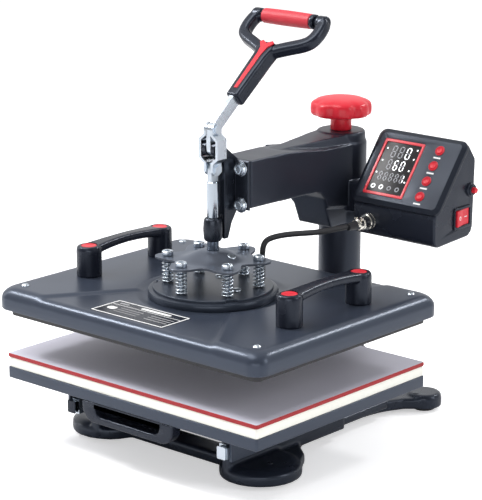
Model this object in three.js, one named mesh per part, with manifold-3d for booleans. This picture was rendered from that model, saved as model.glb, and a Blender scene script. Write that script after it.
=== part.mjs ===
// Swing-away flat heat press with a drawer under its lower platen.
// Millimetres, +Z up, +X to the operator's right, +Y to the back of the press. The dimensions are measured
// from the floor under the centre of the lower platen, and the finished press is moved so that its origin
// is under the centre of its footprint. The press is modelled open, with its handle up.
import * as THREE from 'three';
import { mergeVertices } from 'three/addons/utils/BufferGeometryUtils.js';
import Module from 'manifold-3d';

// ---- Driving dimensions ----
const GAP = 0.3; // clearance between neighbouring pieces
const PLATEN = { width: 380, depth: 290 };
const LOWER = { frameTop: 71.7, bottom: 72, top: 85, padTop: 96.4, sheetTop: 101.3 };
const HOUSING = {
  width: 398, depth: 313, y: 3.5, corner: 17, bottom: 155, top: 180.5, valley: 178, dishFloor: 176.5,
};
const HEATER = { inset: 11, bottom: 146.7, top: 158 };
const DISC = { radius: 74, innerRadius: 68.5, step: 185, top: 188 };
const AXIS_Y = -2.5; // the plunger, the toggle and the spider share this vertical plane
const SPIDER = { bottom: 216.5, top: 219.3, domeTop: 229, meanRadius: 53.5, lobe: 8.5 };
const BOLT_CIRCLE = 52.5;
const BOLT_COUNT = 6;
const COLUMN = { y: 224, radius: 25.5, bottom: 22, top: 310 };
const BRACKET = { face: 28, webFront: 9.6, halfWeb: 9.2 }; // measured from the plunger's axis
const GUIDE = { bottom: 239.5, top: 266, radius: 11.3 };
const SLEEVE = { radius: 31, bottom: 224, capTop: 332 };
const ARM = { front: 29.5, halfWidth: 28.5, bottom: 275, top: 330 };
const PIVOT_Z = 345; // lever pivot, on the ears of the guide bracket
const CRANK = 22.5; // lever pivot to crank pin
const LINK = 45.5; // crank pin to plunger pin
const PIN = { radius: 4, bore: 4.4 };
const PLUNGER = { radius: 6.7, bottom: 217, shoulder: 308 };
const STEM = { y: 36.4, z: 395.2, lean: 39.3 }; // foot of the handle stem and its angle above horizontal
const GRIP = { along: 125.5, halfLength: 35.5, x: -3.5, radius: 8.6 };
const BASE = { bottom: 4, top: 18, footTop: 21, hubTop: 60 };
const FRONT_FOOT = { x: 115, y: -52, radius: 46 };
const REAR_FOOT = { x: 109, y: 254, radius: 21 };
const RAIL = { x: 108, front: -112, back: 100, bottom: 37, height: 17, sheet: 1.5 }; // x: fixed web
const SLIDE_WIDTH = 14.2; // over both halves of a slide
const SIDE_HANDLE = { x: 152, front: -48.5, back: 70, postRadius: 14.7, top: 216.5 };
const BOX = { left: 55, right: 173, lipY: 180, lipZ: 262, crestY: 239, crestZ: 338, back: 257.5, wall: 3 };
const PANEL = { width: 126, height: 99, thickness: 3 };
const BUTTON = { x: 31, first: 30.5, pitch: -20, radius: 6 };
const ROCKER = { y: 232.5, z: 251, halfLength: 13, halfHeight: 9.5 };
const RESET = { y: 248, z: 281, radius: 3.6 };
const KNOB = { bottom: 349, top: 367.5, radius: 34, lobe: 2.3, lobes: 8 };
const CONNECTOR = { x: 80, z: 241 };
const FOOTPRINT_Y = 60.92; // middle of the footprint, behind the centre of the lower platen

// ---- Materials ----
const finish = (color, roughness, metalness) =>
  new THREE.MeshStandardMaterial({ color, roughness, metalness });
const SLATE = finish(0x3c414c, 0.45, 0.2);
const CASTING = finish(0x30323c, 0.4, 0.2);
const BASE_BLACK = finish(0x23262e, 0.4, 0.2);
const BLACK_PLASTIC = finish(0x16171c, 0.35, 0);
const RED_PLASTIC = finish(0xd9303f, 0.4, 0);
const ZINC = finish(0xc3c8cf, 0.3, 0.9);
const CHROME = finish(0xdfe3e8, 0.12, 1);
const ALUMINIUM = finish(0xb9bcc0, 0.45, 0.9);
const FOAM = finish(0xf3efdf, 0.9, 0);
const SHEET = finish(0xa83a3c, 0.7, 0);
const RUBBER = finish(0x15161a, 0.9, 0);
const BOARD = finish(0x1f5a3a, 0.6, 0);
const SCREEN = finish(0x0c0d10, 0.15, 0);

// ---- Solids ----
const wasm = await Module();
wasm.setup();

function toSolid(shape) {
  if (shape instanceof wasm.Manifold) return shape;
  const bare = shape.clone();
  bare.deleteAttribute('normal');
  bare.deleteAttribute('uv');
  const merged = mergeVertices(bare, 1e-4);
  const index = merged.index.array;
  const triangles = [];
  for (let i = 0; i < index.length; i += 3) {
    const [a, b, c] = [index[i], index[i + 1], index[i + 2]];
    if (a !== b && b !== c && c !== a) triangles.push(a, b, c);
  }
  const mesh = new wasm.Mesh({
    numProp: 3,
    vertProperties: new Float32Array(merged.attributes.position.array),
    triVerts: new Uint32Array(triangles),
  });
  return new wasm.Manifold(mesh);
}

const join = (first, ...others) => others.reduce((sum, part) => sum.add(toSolid(part)), toSolid(first));
const cut = (body, ...tools) => tools.reduce((rest, tool) => rest.subtract(toSolid(tool)), toSolid(body));
const keep = (body, zone) => toSolid(body).intersect(toSolid(zone));

function piece(name, shape, material) {
  const mesh = toSolid(shape).getMesh();
  const geometry = new THREE.BufferGeometry();
  geometry.setAttribute('position', new THREE.BufferAttribute(new Float32Array(mesh.vertProperties), 3));
  geometry.setIndex(new THREE.BufferAttribute(new Uint32Array(mesh.triVerts), 1));
  geometry.computeVertexNormals();
  const part = new THREE.Mesh(geometry, material);
  part.name = name;
  return part;
}

// ---- Outlines and basic forms ----
const rad = THREE.MathUtils.degToRad;
const vec = (x, y, z) => new THREE.Vector3(x, y, z);
const X_AXIS = vec(1, 0, 0);
const Y_AXIS = vec(0, 1, 0);
const Z_AXIS = vec(0, 0, 1);
const polygon = (points) => new THREE.Shape(points.map(([a, b]) => new THREE.Vector2(a, b)));

function circle(radius, x = 0, y = 0) {
  const shape = new THREE.Shape();
  shape.absarc(x, y, radius, 0, 2 * Math.PI);
  return shape;
}

function roundedRect(width, height, corner, x = 0, y = 0) {
  const right = x + width / 2 - corner;
  const left = x - width / 2 + corner;
  const top = y + height / 2 - corner;
  const bottom = y - height / 2 + corner;
  const shape = new THREE.Shape();
  shape.absarc(right, bottom, corner, -Math.PI / 2, 0);
  shape.absarc(right, top, corner, 0, Math.PI / 2);
  shape.absarc(left, top, corner, Math.PI / 2, Math.PI);
  shape.absarc(left, bottom, corner, Math.PI, 1.5 * Math.PI);
  return shape;
}

// An outline with two round ends, about points a and b.
function slot(radius, a, b) {
  const turn = Math.atan2(b[1] - a[1], b[0] - a[0]);
  const shape = new THREE.Shape();
  shape.absarc(b[0], b[1], radius, turn - Math.PI / 2, turn + Math.PI / 2);
  shape.absarc(a[0], a[1], radius, turn + Math.PI / 2, turn + 1.5 * Math.PI);
  return shape;
}

function slab(shape, bottom, top, edge = 0, curveSegments = 4) {
  const geometry = new THREE.ExtrudeGeometry(shape, {
    depth: top - bottom - 2 * edge,
    curveSegments,
    bevelEnabled: edge > 0,
    bevelThickness: edge,
    bevelSize: edge,
    bevelOffset: -edge,
    bevelSegments: 1,
  });
  geometry.translate(0, 0, bottom + edge);
  return geometry;
}

// A (y, z) outline carried across X, and an (x, z) outline carried along Y.
function acrossX(shape, left, right, edge = 0, curveSegments = 4) {
  const turn = new THREE.Matrix4().makeBasis(Y_AXIS, Z_AXIS, X_AXIS);
  return slab(shape, left, right, edge, curveSegments).applyMatrix4(turn);
}

function alongY(shape, front, back, edge = 0, curveSegments = 4) {
  const turn = new THREE.Matrix4().makeBasis(X_AXIS, Z_AXIS, vec(0, -1, 0));
  return slab(shape, -back, -front, edge, curveSegments).applyMatrix4(turn);
}

function block(left, right, front, back, bottom, top) {
  const geometry = new THREE.BoxGeometry(right - left, back - front, top - bottom);
  return geometry.translate((left + right) / 2, (front + back) / 2, (bottom + top) / 2);
}

// A profile of [radius, height] points turned about the vertical axis through (x, y).
function turned(profile, x = 0, y = 0, sides = 18) {
  const points = profile.map(([radius, height]) => new THREE.Vector2(radius, height));
  const geometry = new THREE.LatheGeometry(points, sides);
  return geometry.rotateX(Math.PI / 2).translate(x, y, 0);
}

function rod(radius, from, to, sides = 12) {
  const direction = to.clone().sub(from);
  const length = direction.length();
  const geometry = new THREE.CylinderGeometry(radius, radius, length, sides);
  geometry.translate(0, length / 2, 0);
  geometry.applyQuaternion(new THREE.Quaternion().setFromUnitVectors(Y_AXIS, direction.normalize()));
  return geometry.translate(from.x, from.y, from.z);
}

function sweep(shape, curve, steps, curveSegments = 3) {
  return new THREE.ExtrudeGeometry(shape, { steps, curveSegments, bevelEnabled: false, extrudePath: curve });
}

const mirrored = (geometry) => toSolid(geometry).mirror([1, 0, 0]);

// ---- Base ----
// Half of the casting's outline, from the middle of its front edge round to the middle of its back edge.
function baseHalfOutline() {
  const { x, y, radius } = FRONT_FOOT;
  const frontEdge = -66;
  const half = new THREE.Path();
  half.moveTo(0, frontEdge);
  half.lineTo(60, frontEdge);
  half.absarc(x, y, radius, Math.PI + Math.asin((y - frontEdge) / radius), 2 * Math.PI + rad(50));
  half.bezierCurveTo(118, 5, 92, 30, 87, 60);
  half.lineTo(85, 110);
  half.lineTo(87, 170);
  half.bezierCurveTo(89, 200, 98, 210, 112, 226);
  half.absarc(REAR_FOOT.x, REAR_FOOT.y, REAR_FOOT.radius, rad(-35), rad(130));
  half.lineTo(46, 262);
  half.lineTo(0, COLUMN.y + 42);
  return half.getPoints(5);
}

function baseFrame() {
  const right = baseHalfOutline();
  const left = right.map((point) => new THREE.Vector2(-point.x, point.y)).reverse();
  const outline = new THREE.Shape([...right, ...left.slice(1, -1)]);
  outline.holes.push(roundedRect(120, 206, 14, 0, 69));
  const plate = slab(outline, BASE.bottom, BASE.top, 3);
  const hub = turned([[0, BASE.bottom], [42, BASE.bottom], [40, 30], [37, BASE.hubTop - 3],
    [34, BASE.hubTop], [0, BASE.hubTop]], 0, COLUMN.y, 24);
  const { y, radius, bottom } = COLUMN;
  const socket = rod(radius + GAP, vec(0, y, bottom), vec(0, y, BASE.hubTop + 1), 24);
  let casting = join(plate, hub);
  for (const side of [-1, 1]) {
    const inner = side * 60;
    const web = side * (RAIL.x - 13);
    const outer = side * (RAIL.x - GAP);
    const foot = turned([[0, BASE.bottom], [43, BASE.bottom], [46, 8], [46, 14], [43.5, 18.5],
      [38, BASE.footTop], [0, BASE.footTop]], side * FRONT_FOOT.x, FRONT_FOOT.y, 20);
    const riser = block(Math.min(web, outer), Math.max(web, outer), -95, 105, BASE.top - 1, 54);
    const outrigger = block(Math.min(inner, outer), Math.max(inner, outer), 72, 100, 7, BASE.top);
    casting = join(casting, foot, riser, outrigger);
  }
  return cut(casting, socket);
}

function rubberFoot(x, y, radius) {
  const top = BASE.bottom - GAP;
  return turned([[0, 0], [radius - 1, 0], [radius, 1], [radius, top], [0, top]], x, y);
}

// Fixed half of a slide, a channel that opens outwards.
function outerRail() {
  const { front, back, bottom, height, sheet } = RAIL;
  const web = RAIL.x;
  const lip = web + 10;
  const top = bottom + height;
  const inside = web + sheet;
  const section = polygon([[web, bottom], [lip, bottom], [lip, bottom + sheet], [inside, bottom + sheet],
    [inside, top - sheet], [lip, top - sheet], [lip, top], [web, top]]);
  return alongY(section, front, back);
}

// Moving half of a slide, a channel that opens inwards and runs inside the fixed one.
function innerRail() {
  const { front, back, sheet } = RAIL;
  const web = RAIL.x + SLIDE_WIDTH;
  const lip = RAIL.x + 3.5;
  const bottom = RAIL.bottom + 2;
  const top = RAIL.bottom + RAIL.height - 2;
  const section = polygon([[lip, bottom], [web, bottom], [web, top], [lip, top], [lip, top - sheet],
    [web - sheet, top - sheet], [web - sheet, bottom + sheet], [lip, bottom + sheet]]);
  return alongY(section, front - 4, back);
}

// ---- Drawer and lower platen ----
function drawerFrame() {
  const sheet = 3;
  const side = RAIL.x + SLIDE_WIDTH + GAP + sheet;
  const bottom = 36;
  const folded = block(-side, side, RAIL.front, RAIL.back + 5, bottom, LOWER.frameTop);
  const inside = block(sheet - side, side - sheet, RAIL.front - 1, RAIL.back + 6, bottom - 1,
    LOWER.frameTop - sheet);
  const window = slab(roundedRect(170, 150, 12, 0, -4), 60, 80);
  return cut(folded, inside, window);
}

function pullHandle() {
  const [front, back] = [-145, -131];
  const width = 138;
  const bottom = 48;
  const outline = roundedRect(width, 60, 18, 0, bottom + 30);
  outline.holes.push(roundedRect(width - 42, 30, 9, 0, bottom + 23));
  const above = block(-width, width, front - 1, RAIL.front, LOWER.frameTop, 120);
  const reach = width / 2 - 4;
  const tie = block(-reach, reach, back - 1, RAIL.front - GAP, LOWER.frameTop - 3, LOWER.frameTop);
  return join(cut(alongY(outline, front, back, 2), above), tie);
}

const lowerLayer = (corner, bottom, top, edge, inset = 0) =>
  slab(roundedRect(PLATEN.width - 2 * inset, PLATEN.depth - 2 * inset, corner), bottom, top, edge);

// ---- Column, arm and knob ----
function column() {
  const { y, radius, bottom, top } = COLUMN;
  const bore = 8;
  return turned([[0, bottom + GAP], [radius - 1, bottom + GAP], [radius, bottom + 1.5], [radius, top - 2],
    [radius - 2, top], [bore, top], [bore, 200], [0, 200]], 0, y, 24);
}

function armCasting() {
  const { front, halfWidth, bottom, top } = ARM;
  const beamOutline = polygon([[front, bottom], [145, 272.5], [155, 268.5], [162, 261], [167, 248],
    [COLUMN.y, 248], [COLUMN.y, 318], [160, 320], [125, 325], [95, top - 1], [front, top]]);
  const beam = acrossX(beamOutline, -halfWidth, halfWidth, 2);
  const spine = slab(polygon([[-4, 80], [4, 80], [24, COLUMN.y], [-24, COLUMN.y]]), 312, SLEEVE.capTop - 1);
  const shoulder = acrossX(polygon([[162, 260], [177, SLEEVE.bottom + 1], [COLUMN.y, SLEEVE.bottom + 1],
    [COLUMN.y, 260]]), -25, 25, 2);
  const sleeve = turned([[0, SLEEVE.bottom], [SLEEVE.radius - 2, SLEEVE.bottom],
    [SLEEVE.radius, SLEEVE.bottom + 2], [SLEEVE.radius, 317], [29, 321], [29, SLEEVE.capTop - 3],
    [26, SLEEVE.capTop], [0, SLEEVE.capTop]], 0, COLUMN.y, 24);
  const boxMount = block(20, BOX.left - GAP, 204, 240, 240, 276);
  const columnBore = rod(COLUMN.radius + GAP, vec(0, COLUMN.y, 200), vec(0, COLUMN.y, 320), 24);
  const screwHole = rod(9, vec(0, COLUMN.y, 319), vec(0, COLUMN.y, 340));
  let casting = cut(join(beam, spine, shoulder, sleeve, boxMount), columnBore, screwHole);
  for (const [x, z] of bracketBoltPlaces()) {
    casting = cut(casting, rod(PIN.bore, vec(x, front - 1, z), vec(x, front + 16, z)));
  }
  return casting;
}

const bracketBoltPlaces = () => [[-18, 320.4], [18, 320.4], [-18, 278.5], [18, 278.5]];

function bracketBolt(x, z) {
  const flange = BRACKET.face + AXIS_Y;
  const washer = rod(8.4, vec(x, flange - 2.3, z), vec(x, flange - GAP, z), 20);
  const head = rod(6.6, vec(x, flange - 7.2, z), vec(x, flange - 2, z), 6);
  const shank = rod(PIN.radius, vec(x, flange - 1, z), vec(x, ARM.front + 14, z), 12);
  return join(washer, head, shank);
}

// Bolted to the front of the arm. Its ears carry the lever pivot and its web holds the plunger guide.
// Like every piece of the toggle it is drawn about the plunger's axis.
function guideBracket() {
  const back = ARM.front - GAP - AXIS_Y;
  const { face, webFront, halfWeb } = BRACKET;
  const flange = alongY(polygon([[-28.5, 273], [28.5, 273], [28.5, 329.7], [-28.5, 329.7]]), face, back, 1);
  const web = acrossX(polygon([[webFront, 241], [15.5, 241], [21.5, 258], [back, 273], [back, 329],
    [webFront, 329]]), -halfWeb, halfWeb);
  const ear = new THREE.Shape();
  ear.moveTo(webFront, 318);
  ear.lineTo(back, 318);
  ear.lineTo(back, 330);
  ear.absarc(0, PIVOT_Z, 8.5, rad(75), rad(270));
  ear.lineTo(webFront, PIVOT_Z - 8.5);
  const rightEar = toSolid(acrossX(ear, 4, halfWeb));
  const guideSeat = rod(GUIDE.radius + GAP, vec(0, 0, 235), vec(0, 0, GUIDE.top + 2), 18);
  const pivotBore = rod(PIN.bore, vec(-20, 0, PIVOT_Z), vec(20, 0, PIVOT_Z));
  let bracket = cut(join(flange, web, rightEar, mirrored(rightEar)), guideSeat, pivotBore);
  for (const [x, z] of bracketBoltPlaces()) {
    bracket = cut(bracket, rod(PIN.bore, vec(x, face - 1, z), vec(x, back + 1, z)));
  }
  return bracket;
}

function plungerGuide() {
  const bore = PLUNGER.radius + GAP;
  const { bottom, top, radius } = GUIDE;
  return turned([[bore, bottom], [radius - 2.5, bottom], [radius - 0.8, bottom + 3], [radius, bottom + 12],
    [radius - 0.6, top - 4], [radius - 2, top], [bore, top], [bore, bottom]]);
}

function pressureKnob() {
  const outline = new THREE.Shape();
  const steps = 48;
  for (let i = 0; i < steps; i += 1) {
    const angle = (2 * Math.PI * i) / steps;
    const radius = KNOB.radius + KNOB.lobe * Math.cos(KNOB.lobes * angle);
    const [x, y] = [radius * Math.cos(angle), COLUMN.y + radius * Math.sin(angle)];
    if (i === 0) outline.moveTo(x, y);
    else outline.lineTo(x, y);
  }
  const rim = slab(outline, KNOB.bottom, KNOB.top, 4);
  const dome = turned([[0, 360], [27, 360], [27, KNOB.top], [18, KNOB.top + 2.5], [0, KNOB.top + 4]],
    0, COLUMN.y);
  const stem = turned([[0, SLEEVE.capTop + GAP], [12.5, SLEEVE.capTop + GAP], [12.5, KNOB.bottom - 2],
    [18, KNOB.bottom + 4], [0, KNOB.bottom + 4]], 0, COLUMN.y);
  const bore = rod(7.9, vec(0, COLUMN.y, 320), vec(0, COLUMN.y, 356));
  return cut(join(rim, dome, stem), bore);
}

// ---- Toggle: lever, handle, link yoke, plunger ----
function leverBar() {
  const halfWidth = 7;
  const lean = rad(STEM.lean);
  const crankZ = PIVOT_Z + CRANK;
  const along = [Math.cos(lean), Math.sin(lean)];
  const tip = [STEM.y + 34 * along[0], STEM.z + 34 * along[1]];
  const bend = [tip[0] - 73 * along[0], tip[1] - 73 * along[1]];
  const upright = acrossX(slot(halfWidth, [0, PIVOT_Z], [0, crankZ]), -3, 3);
  const inclined = acrossX(slot(halfWidth, bend, tip), -3, 3);
  const bores = [PIVOT_Z, crankZ].map((z) => rod(PIN.bore, vec(-9, 0, z), vec(9, 0, z)));
  return cut(join(upright, inclined), ...bores);
}

// Handle frame in its own axes: x across, y along the stem from its foot, z square to both.
function handleFrame() {
  const stem = alongStem([[8.2, 0], [8.8, 4], [10, 60], [13, 78], [0, 84]]);
  const arm = new THREE.CatmullRomCurve3([vec(2, 70, 0), vec(16, 78, 0), vec(38, 87.5, 0), vec(49, 94, 0),
    vec(52.5, 105, 0), vec(52, 119, 0), vec(46, GRIP.along, 0)]);
  const armSection = roundedRect(15, 14, 4);
  const rightArm = toSolid(sweep(armSection, arm, 16, 1));
  const core = rod(6, vec(-48, GRIP.along, 0), vec(48, GRIP.along, 0), 12);
  const leverSlot = block(-3.4, 3.4, -1, 43, -7.4, 7.4);
  return cut(join(stem, rightArm, mirrored(rightArm), core), leverSlot);
}

// A stem of rounded section whose half-widths are given as [half width, distance along the stem].
function alongStem(stations) {
  const outline = polygon([...stations.map(([w, s]) => [w, s]), ...stations.slice(0, -1).reverse()
    .map(([w, s]) => [-w, s])]);
  return slab(outline, -9, 9, 3);
}

function handleGrip() {
  const { halfLength, radius, along, x } = GRIP;
  const bore = 6 + GAP;
  const sleeve = turned([[bore, -halfLength], [radius - 1, -halfLength], [radius, 3 - halfLength],
    [radius + 0.8, 0], [radius, halfLength - 3], [radius - 1, halfLength], [bore, halfLength],
    [bore, -halfLength]], 0, 0, 20);
  return sleeve.rotateY(Math.PI / 2).translate(x, along, 0);
}

// Two bent plates joined by the crank pin. They bulge outwards to pass the bracket's ears.
function linkYoke() {
  const crankZ = PIVOT_Z + CRANK;
  const eyeZ = crankZ - LINK;
  const [thin, inner, bulge] = [3.3, 3.4, 10.8];
  const plate = alongY(polygon([
    [inner, eyeZ - 9], [inner + thin, eyeZ - 9], [inner + thin, eyeZ + 6.5], [bulge + thin, eyeZ + 12.5],
    [bulge + thin, crankZ - 11], [inner + thin, crankZ - 5], [inner + thin, crankZ + 9], [inner, crankZ + 9],
    [inner, crankZ - 6.5], [bulge, crankZ - 12.5], [bulge, eyeZ + 14], [inner, eyeZ + 8]]), -8, 8);
  const outline = acrossX(slot(7.5, [0, eyeZ], [0, crankZ]), -20, 20);
  let yoke = keep(join(plate, mirrored(plate)), outline);
  yoke = join(yoke, rod(PIN.radius, vec(-9, 0, crankZ), vec(9, 0, crankZ)));
  for (const side of [-1, 1]) {
    for (const z of [eyeZ, crankZ]) {
      yoke = join(yoke, rod(5.6, vec(side * 6.2, 0, z), vec(side * 9.4, 0, z), 6));
    }
  }
  return yoke;
}

function plungerShaft() {
  const { radius, bottom, shoulder } = PLUNGER;
  const eyeZ = PIVOT_Z + CRANK - LINK;
  const shaft = turned([[0, bottom], [radius - 1, bottom], [radius, bottom + 1], [radius, shoulder - 1.5],
    [radius - 1.5, shoulder], [0, shoulder]]);
  const tongue = acrossX(slot(5.8, [0, shoulder - 8], [0, eyeZ]), -3, 3);
  return join(shaft, tongue);
}

function spiderPlate() {
  const steps = 48;
  const outline = new THREE.Shape();
  for (let i = 0; i < steps; i += 1) {
    const angle = (2 * Math.PI * i) / steps;
    const radius = SPIDER.meanRadius + SPIDER.lobe * Math.cos(BOLT_COUNT * (angle - rad(30)));
    const [x, y] = [radius * Math.cos(angle), radius * Math.sin(angle)];
    if (i === 0) outline.moveTo(x, y);
    else outline.lineTo(x, y);
  }
  const { bottom, top, domeTop } = SPIDER;
  const bore = PLUNGER.radius + GAP;
  const dome = turned([[bore, bottom + 5], [14, bottom + 5], [25, bottom + 3], [32, bottom], [38, bottom],
    [38, top], [30, top + 4], [16, domeTop - 0.6], [bore, domeTop], [bore, bottom + 5]], 0, 0, 20);
  const opening = rod(32, vec(0, 0, bottom - 1), vec(0, 0, top + 1), 20);
  let plate = join(cut(slab(outline, bottom, top), opening), dome);
  for (const [x, y] of springBoltPlaces()) {
    plate = cut(plate, rod(3.5, vec(x, y, bottom - 1), vec(x, y, top + 1), 8));
  }
  return plate;
}

// ---- Upper platen ----
function springBoltPlaces() {
  const places = [];
  for (let i = 0; i < BOLT_COUNT; i += 1) {
    const angle = rad(30 + (360 / BOLT_COUNT) * i);
    places.push([BOLT_CIRCLE * Math.cos(angle), BOLT_CIRCLE * Math.sin(angle)]);
  }
  return places;
}

function springBolt(x, y) {
  const under = SPIDER.top + GAP;
  const head = turned([[0, under], [6.5, under], [6.5, under + 4.6], [5.5, under + 5.6], [0, under + 5.6]],
    x, y, 12);
  const socket = rod(3, vec(x, y, under + 2.5), vec(x, y, under + 9), 6);
  const shank = rod(2.9, vec(x, y, DISC.top + GAP), vec(x, y, under + 1), 8);
  return join(cut(head, socket), shank);
}

function spring(x, y) {
  const wire = 1.1;
  const [bottom, top] = [DISC.top + GAP + wire + 0.2, SPIDER.bottom - GAP - wire - 0.2];
  const [turns, perTurn, coil] = [6, 8, 5.7];
  const points = [];
  for (let i = 0; i <= turns * perTurn; i += 1) {
    const angle = (2 * Math.PI * i) / perTurn;
    const z = bottom + ((top - bottom) * i) / (turns * perTurn);
    points.push(vec(x + coil * Math.cos(angle), y + coil * Math.sin(angle), z));
  }
  const section = polygon([[wire, 0], [0, wire], [-wire, 0], [0, -wire]]);
  return sweep(section, new THREE.CatmullRomCurve3(points), turns * perTurn);
}

function mountingDisc() {
  const { radius, innerRadius, step, top } = DISC;
  const bottom = HOUSING.dishFloor + GAP;
  const disc = turned([[0, bottom], [radius, bottom], [radius, step - 1], [radius - 1, step],
    [innerRadius, step], [innerRadius, top - 1], [innerRadius - 1, top], [0, top]], 0, 0, 32);
  const notches = [0, 120, 240].map((turn) => block(innerRadius - 8, innerRadius + 1, -7, 7, step, top + 1)
    .rotateZ(rad(turn)));
  return cut(disc, ...notches);
}

function platenHousing() {
  const { width, depth, y, corner, bottom, top, valley, dishFloor } = HOUSING;
  const layer = (inset, low, high, edge) =>
    slab(roundedRect(width - inset, depth - inset, corner - inset / 2, 0, y), low, high, edge);
  const body = layer(0, bottom - 5, valley, 4);
  const raised = layer(5, 160, top, 3.5);
  const valleyShape = polygon([[-134, -170], [134, -170], [66, -55], [66, 50], [134, 175], [-134, 175],
    [-66, 50], [-66, -55]]);
  const shoulders = cut(raised, slab(valleyShape, 150, 200));
  const dish = turned([[0, dishFloor], [76, dishFloor], [86, valley], [90, top + 2], [0, top + 2]],
    0, AXIS_Y, 32);
  const cavity = layer(8, bottom - 10, dishFloor - 4);
  return cut(join(body, shoulders), dish, cavity, block(-250, 250, -200, 200, 100, bottom));
}

function heaterPlate() {
  const { width, depth, y } = HOUSING;
  const { inset, bottom, top } = HEATER;
  return slab(roundedRect(width - 2 * inset, depth - 2 * inset, 8, 0, y), bottom, top, 1);
}

// Two round posts and an arched bar. It stands on the raised side of the housing.
function sideHandle(x) {
  const { front, back, postRadius, top } = SIDE_HANDLE;
  const bottom = HOUSING.top + GAP;
  const posts = [front, back].map((y) => turned([[0, bottom], [postRadius, bottom], [postRadius, top - 1.5],
    [postRadius - 1.5, top], [0, top]], x, y, 16));
  const bar = new THREE.Shape();
  bar.moveTo(front, top - 9);
  bar.quadraticCurveTo((front + back) / 2, top - 2, back, top - 9);
  bar.lineTo(back, top - 0.5);
  bar.quadraticCurveTo((front + back) / 2, top + 6, front, top - 0.5);
  return join(...posts, acrossX(bar, x - 7.5, x + 7.5, 1.5));
}

// ---- Control box ----
function boxProfile(inset = 0) {
  const { lipY, lipZ, crestY, crestZ, back } = BOX;
  return polygon([
    [lipY + inset, lipZ - inset / 2],
    [lipY + inset, 232],
    [190 + inset / 2, 222 + inset],
    [back - 9 - inset, 224 + inset],
    [back - 2 - inset, 231 + inset / 2],
    [back - inset, 314],
    [crestY + 10, crestZ - 9 - inset],
    [crestY, crestZ - inset],
  ]);
}

function controlBoxShell() {
  const { left, right, wall, crestY, crestZ, lipY, lipZ } = BOX;
  const slope = Math.atan2(crestZ - lipZ, crestY - lipY);
  const shell = acrossX(boxProfile(), left, right, 1.5);
  const inside = acrossX(boxProfile(wall), left + wall, right - wall);
  const opening = slab(roundedRect(108, 84, 4), -20, 20).rotateX(slope)
    .translate((left + right) / 2, (lipY + crestY) / 2, (lipZ + crestZ) / 2);
  const halfHole = { y: ROCKER.halfLength + 1.4, z: ROCKER.halfHeight + 0.5 };
  const switchHole = block(right - 10, right + 1, ROCKER.y - halfHole.y, ROCKER.y + halfHole.y,
    ROCKER.z - halfHole.z, ROCKER.z + halfHole.z);
  const collar = rod(6, vec(right - 1, RESET.y, RESET.z), vec(right + 3, RESET.y, RESET.z), 20);
  const collarBore = rod(4, vec(right - 10, RESET.y, RESET.z), vec(right + 5, RESET.y, RESET.z));
  return cut(join(cut(shell, inside), collar), opening, switchHole, collarBore);
}

// Panel pieces in the panel's own axes: x across, y up the slope, z out of the sloped face.
function controlPanel() {
  const { width, height, thickness } = PANEL;
  const face = roundedRect(width, height, 9);
  face.holes.push(roundedRect(58, 73, 3, -20, -1));
  for (const y of buttonHeights()) face.holes.push(circle(BUTTON.radius + 0.7, BUTTON.x, y));
  const plate = slab(face, GAP, GAP + thickness, 0, 6);
  const corners = [[-48, -39.5], [48, -39.5], [-48, 39.5], [48, 39.5]];
  const posts = corners.map(([x, y]) => rod(2.2, vec(x, y, -10), vec(x, y, 1), 8));
  return join(plate, ...posts);
}

const buttonHeights = () => [0, 1, 2, 3].map((i) => BUTTON.first + BUTTON.pitch * i);

const displayWindow = () => slab(roundedRect(57.2, 72.2, 2.6, -20, -1), 0.8, GAP + PANEL.thickness - 0.4);

const circuitBoard = () => slab(roundedRect(100, 80, 3), -12, -10.3);

function pressButton(y) {
  const { x, radius } = BUTTON;
  return turned([[0, -3], [radius, -3], [radius, 5], [radius - 0.8, 5.7], [0, 6]], x, y, 20);
}

// The rocker rests with its back half pressed in.
function powerRocker() {
  const { y, z, halfLength, halfHeight } = ROCKER;
  const face = BOX.right;
  const outline = polygon([[face - 5, y - halfLength], [face + 4.2, y - halfLength], [face + 0.6, y],
    [face + 0.6, y + halfLength], [face - 5, y + halfLength]]);
  return slab(outline, z - halfHeight, z + halfHeight, 0.6);
}

const resetButton = () => {
  const { y, z, radius } = RESET;
  return rod(radius, vec(BOX.right - 6, y, z), vec(BOX.right + 9, y, z), 16);
};

// ---- Heater lead ----
function cableConnector() {
  const { x, z } = CONNECTOR;
  const profile = [[0, 0], [9.5, 0], [9.5, 5], [8, 6], [8, 12], [6.4, 13], [6.4, 19], [4.6, 21],
    [4.6, 28.5], [0, 28.5]];
  return turned(profile, 0, 0, 16).rotateX(Math.PI / 2).translate(x, BOX.lipY - GAP, z);
}

function heaterCable() {
  const { x, z } = CONNECTOR;
  const path = new THREE.CatmullRomCurve3([vec(x, 150.4, z), vec(x - 3, 138, z), vec(64, 108, 239),
    vec(46, 66, 240), vec(38, 45, 236), vec(36.5, 41, 226), vec(36, 41, 208), vec(36, 41, 192)]);
  return sweep(circle(3.2), path, 26, 4);
}

// ---- Assembly ----
const press = new THREE.Group();
const add = (name, shape, material) => press.add(piece(name, shape, material));
const sides = [['left', -1], ['right', 1]];

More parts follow.
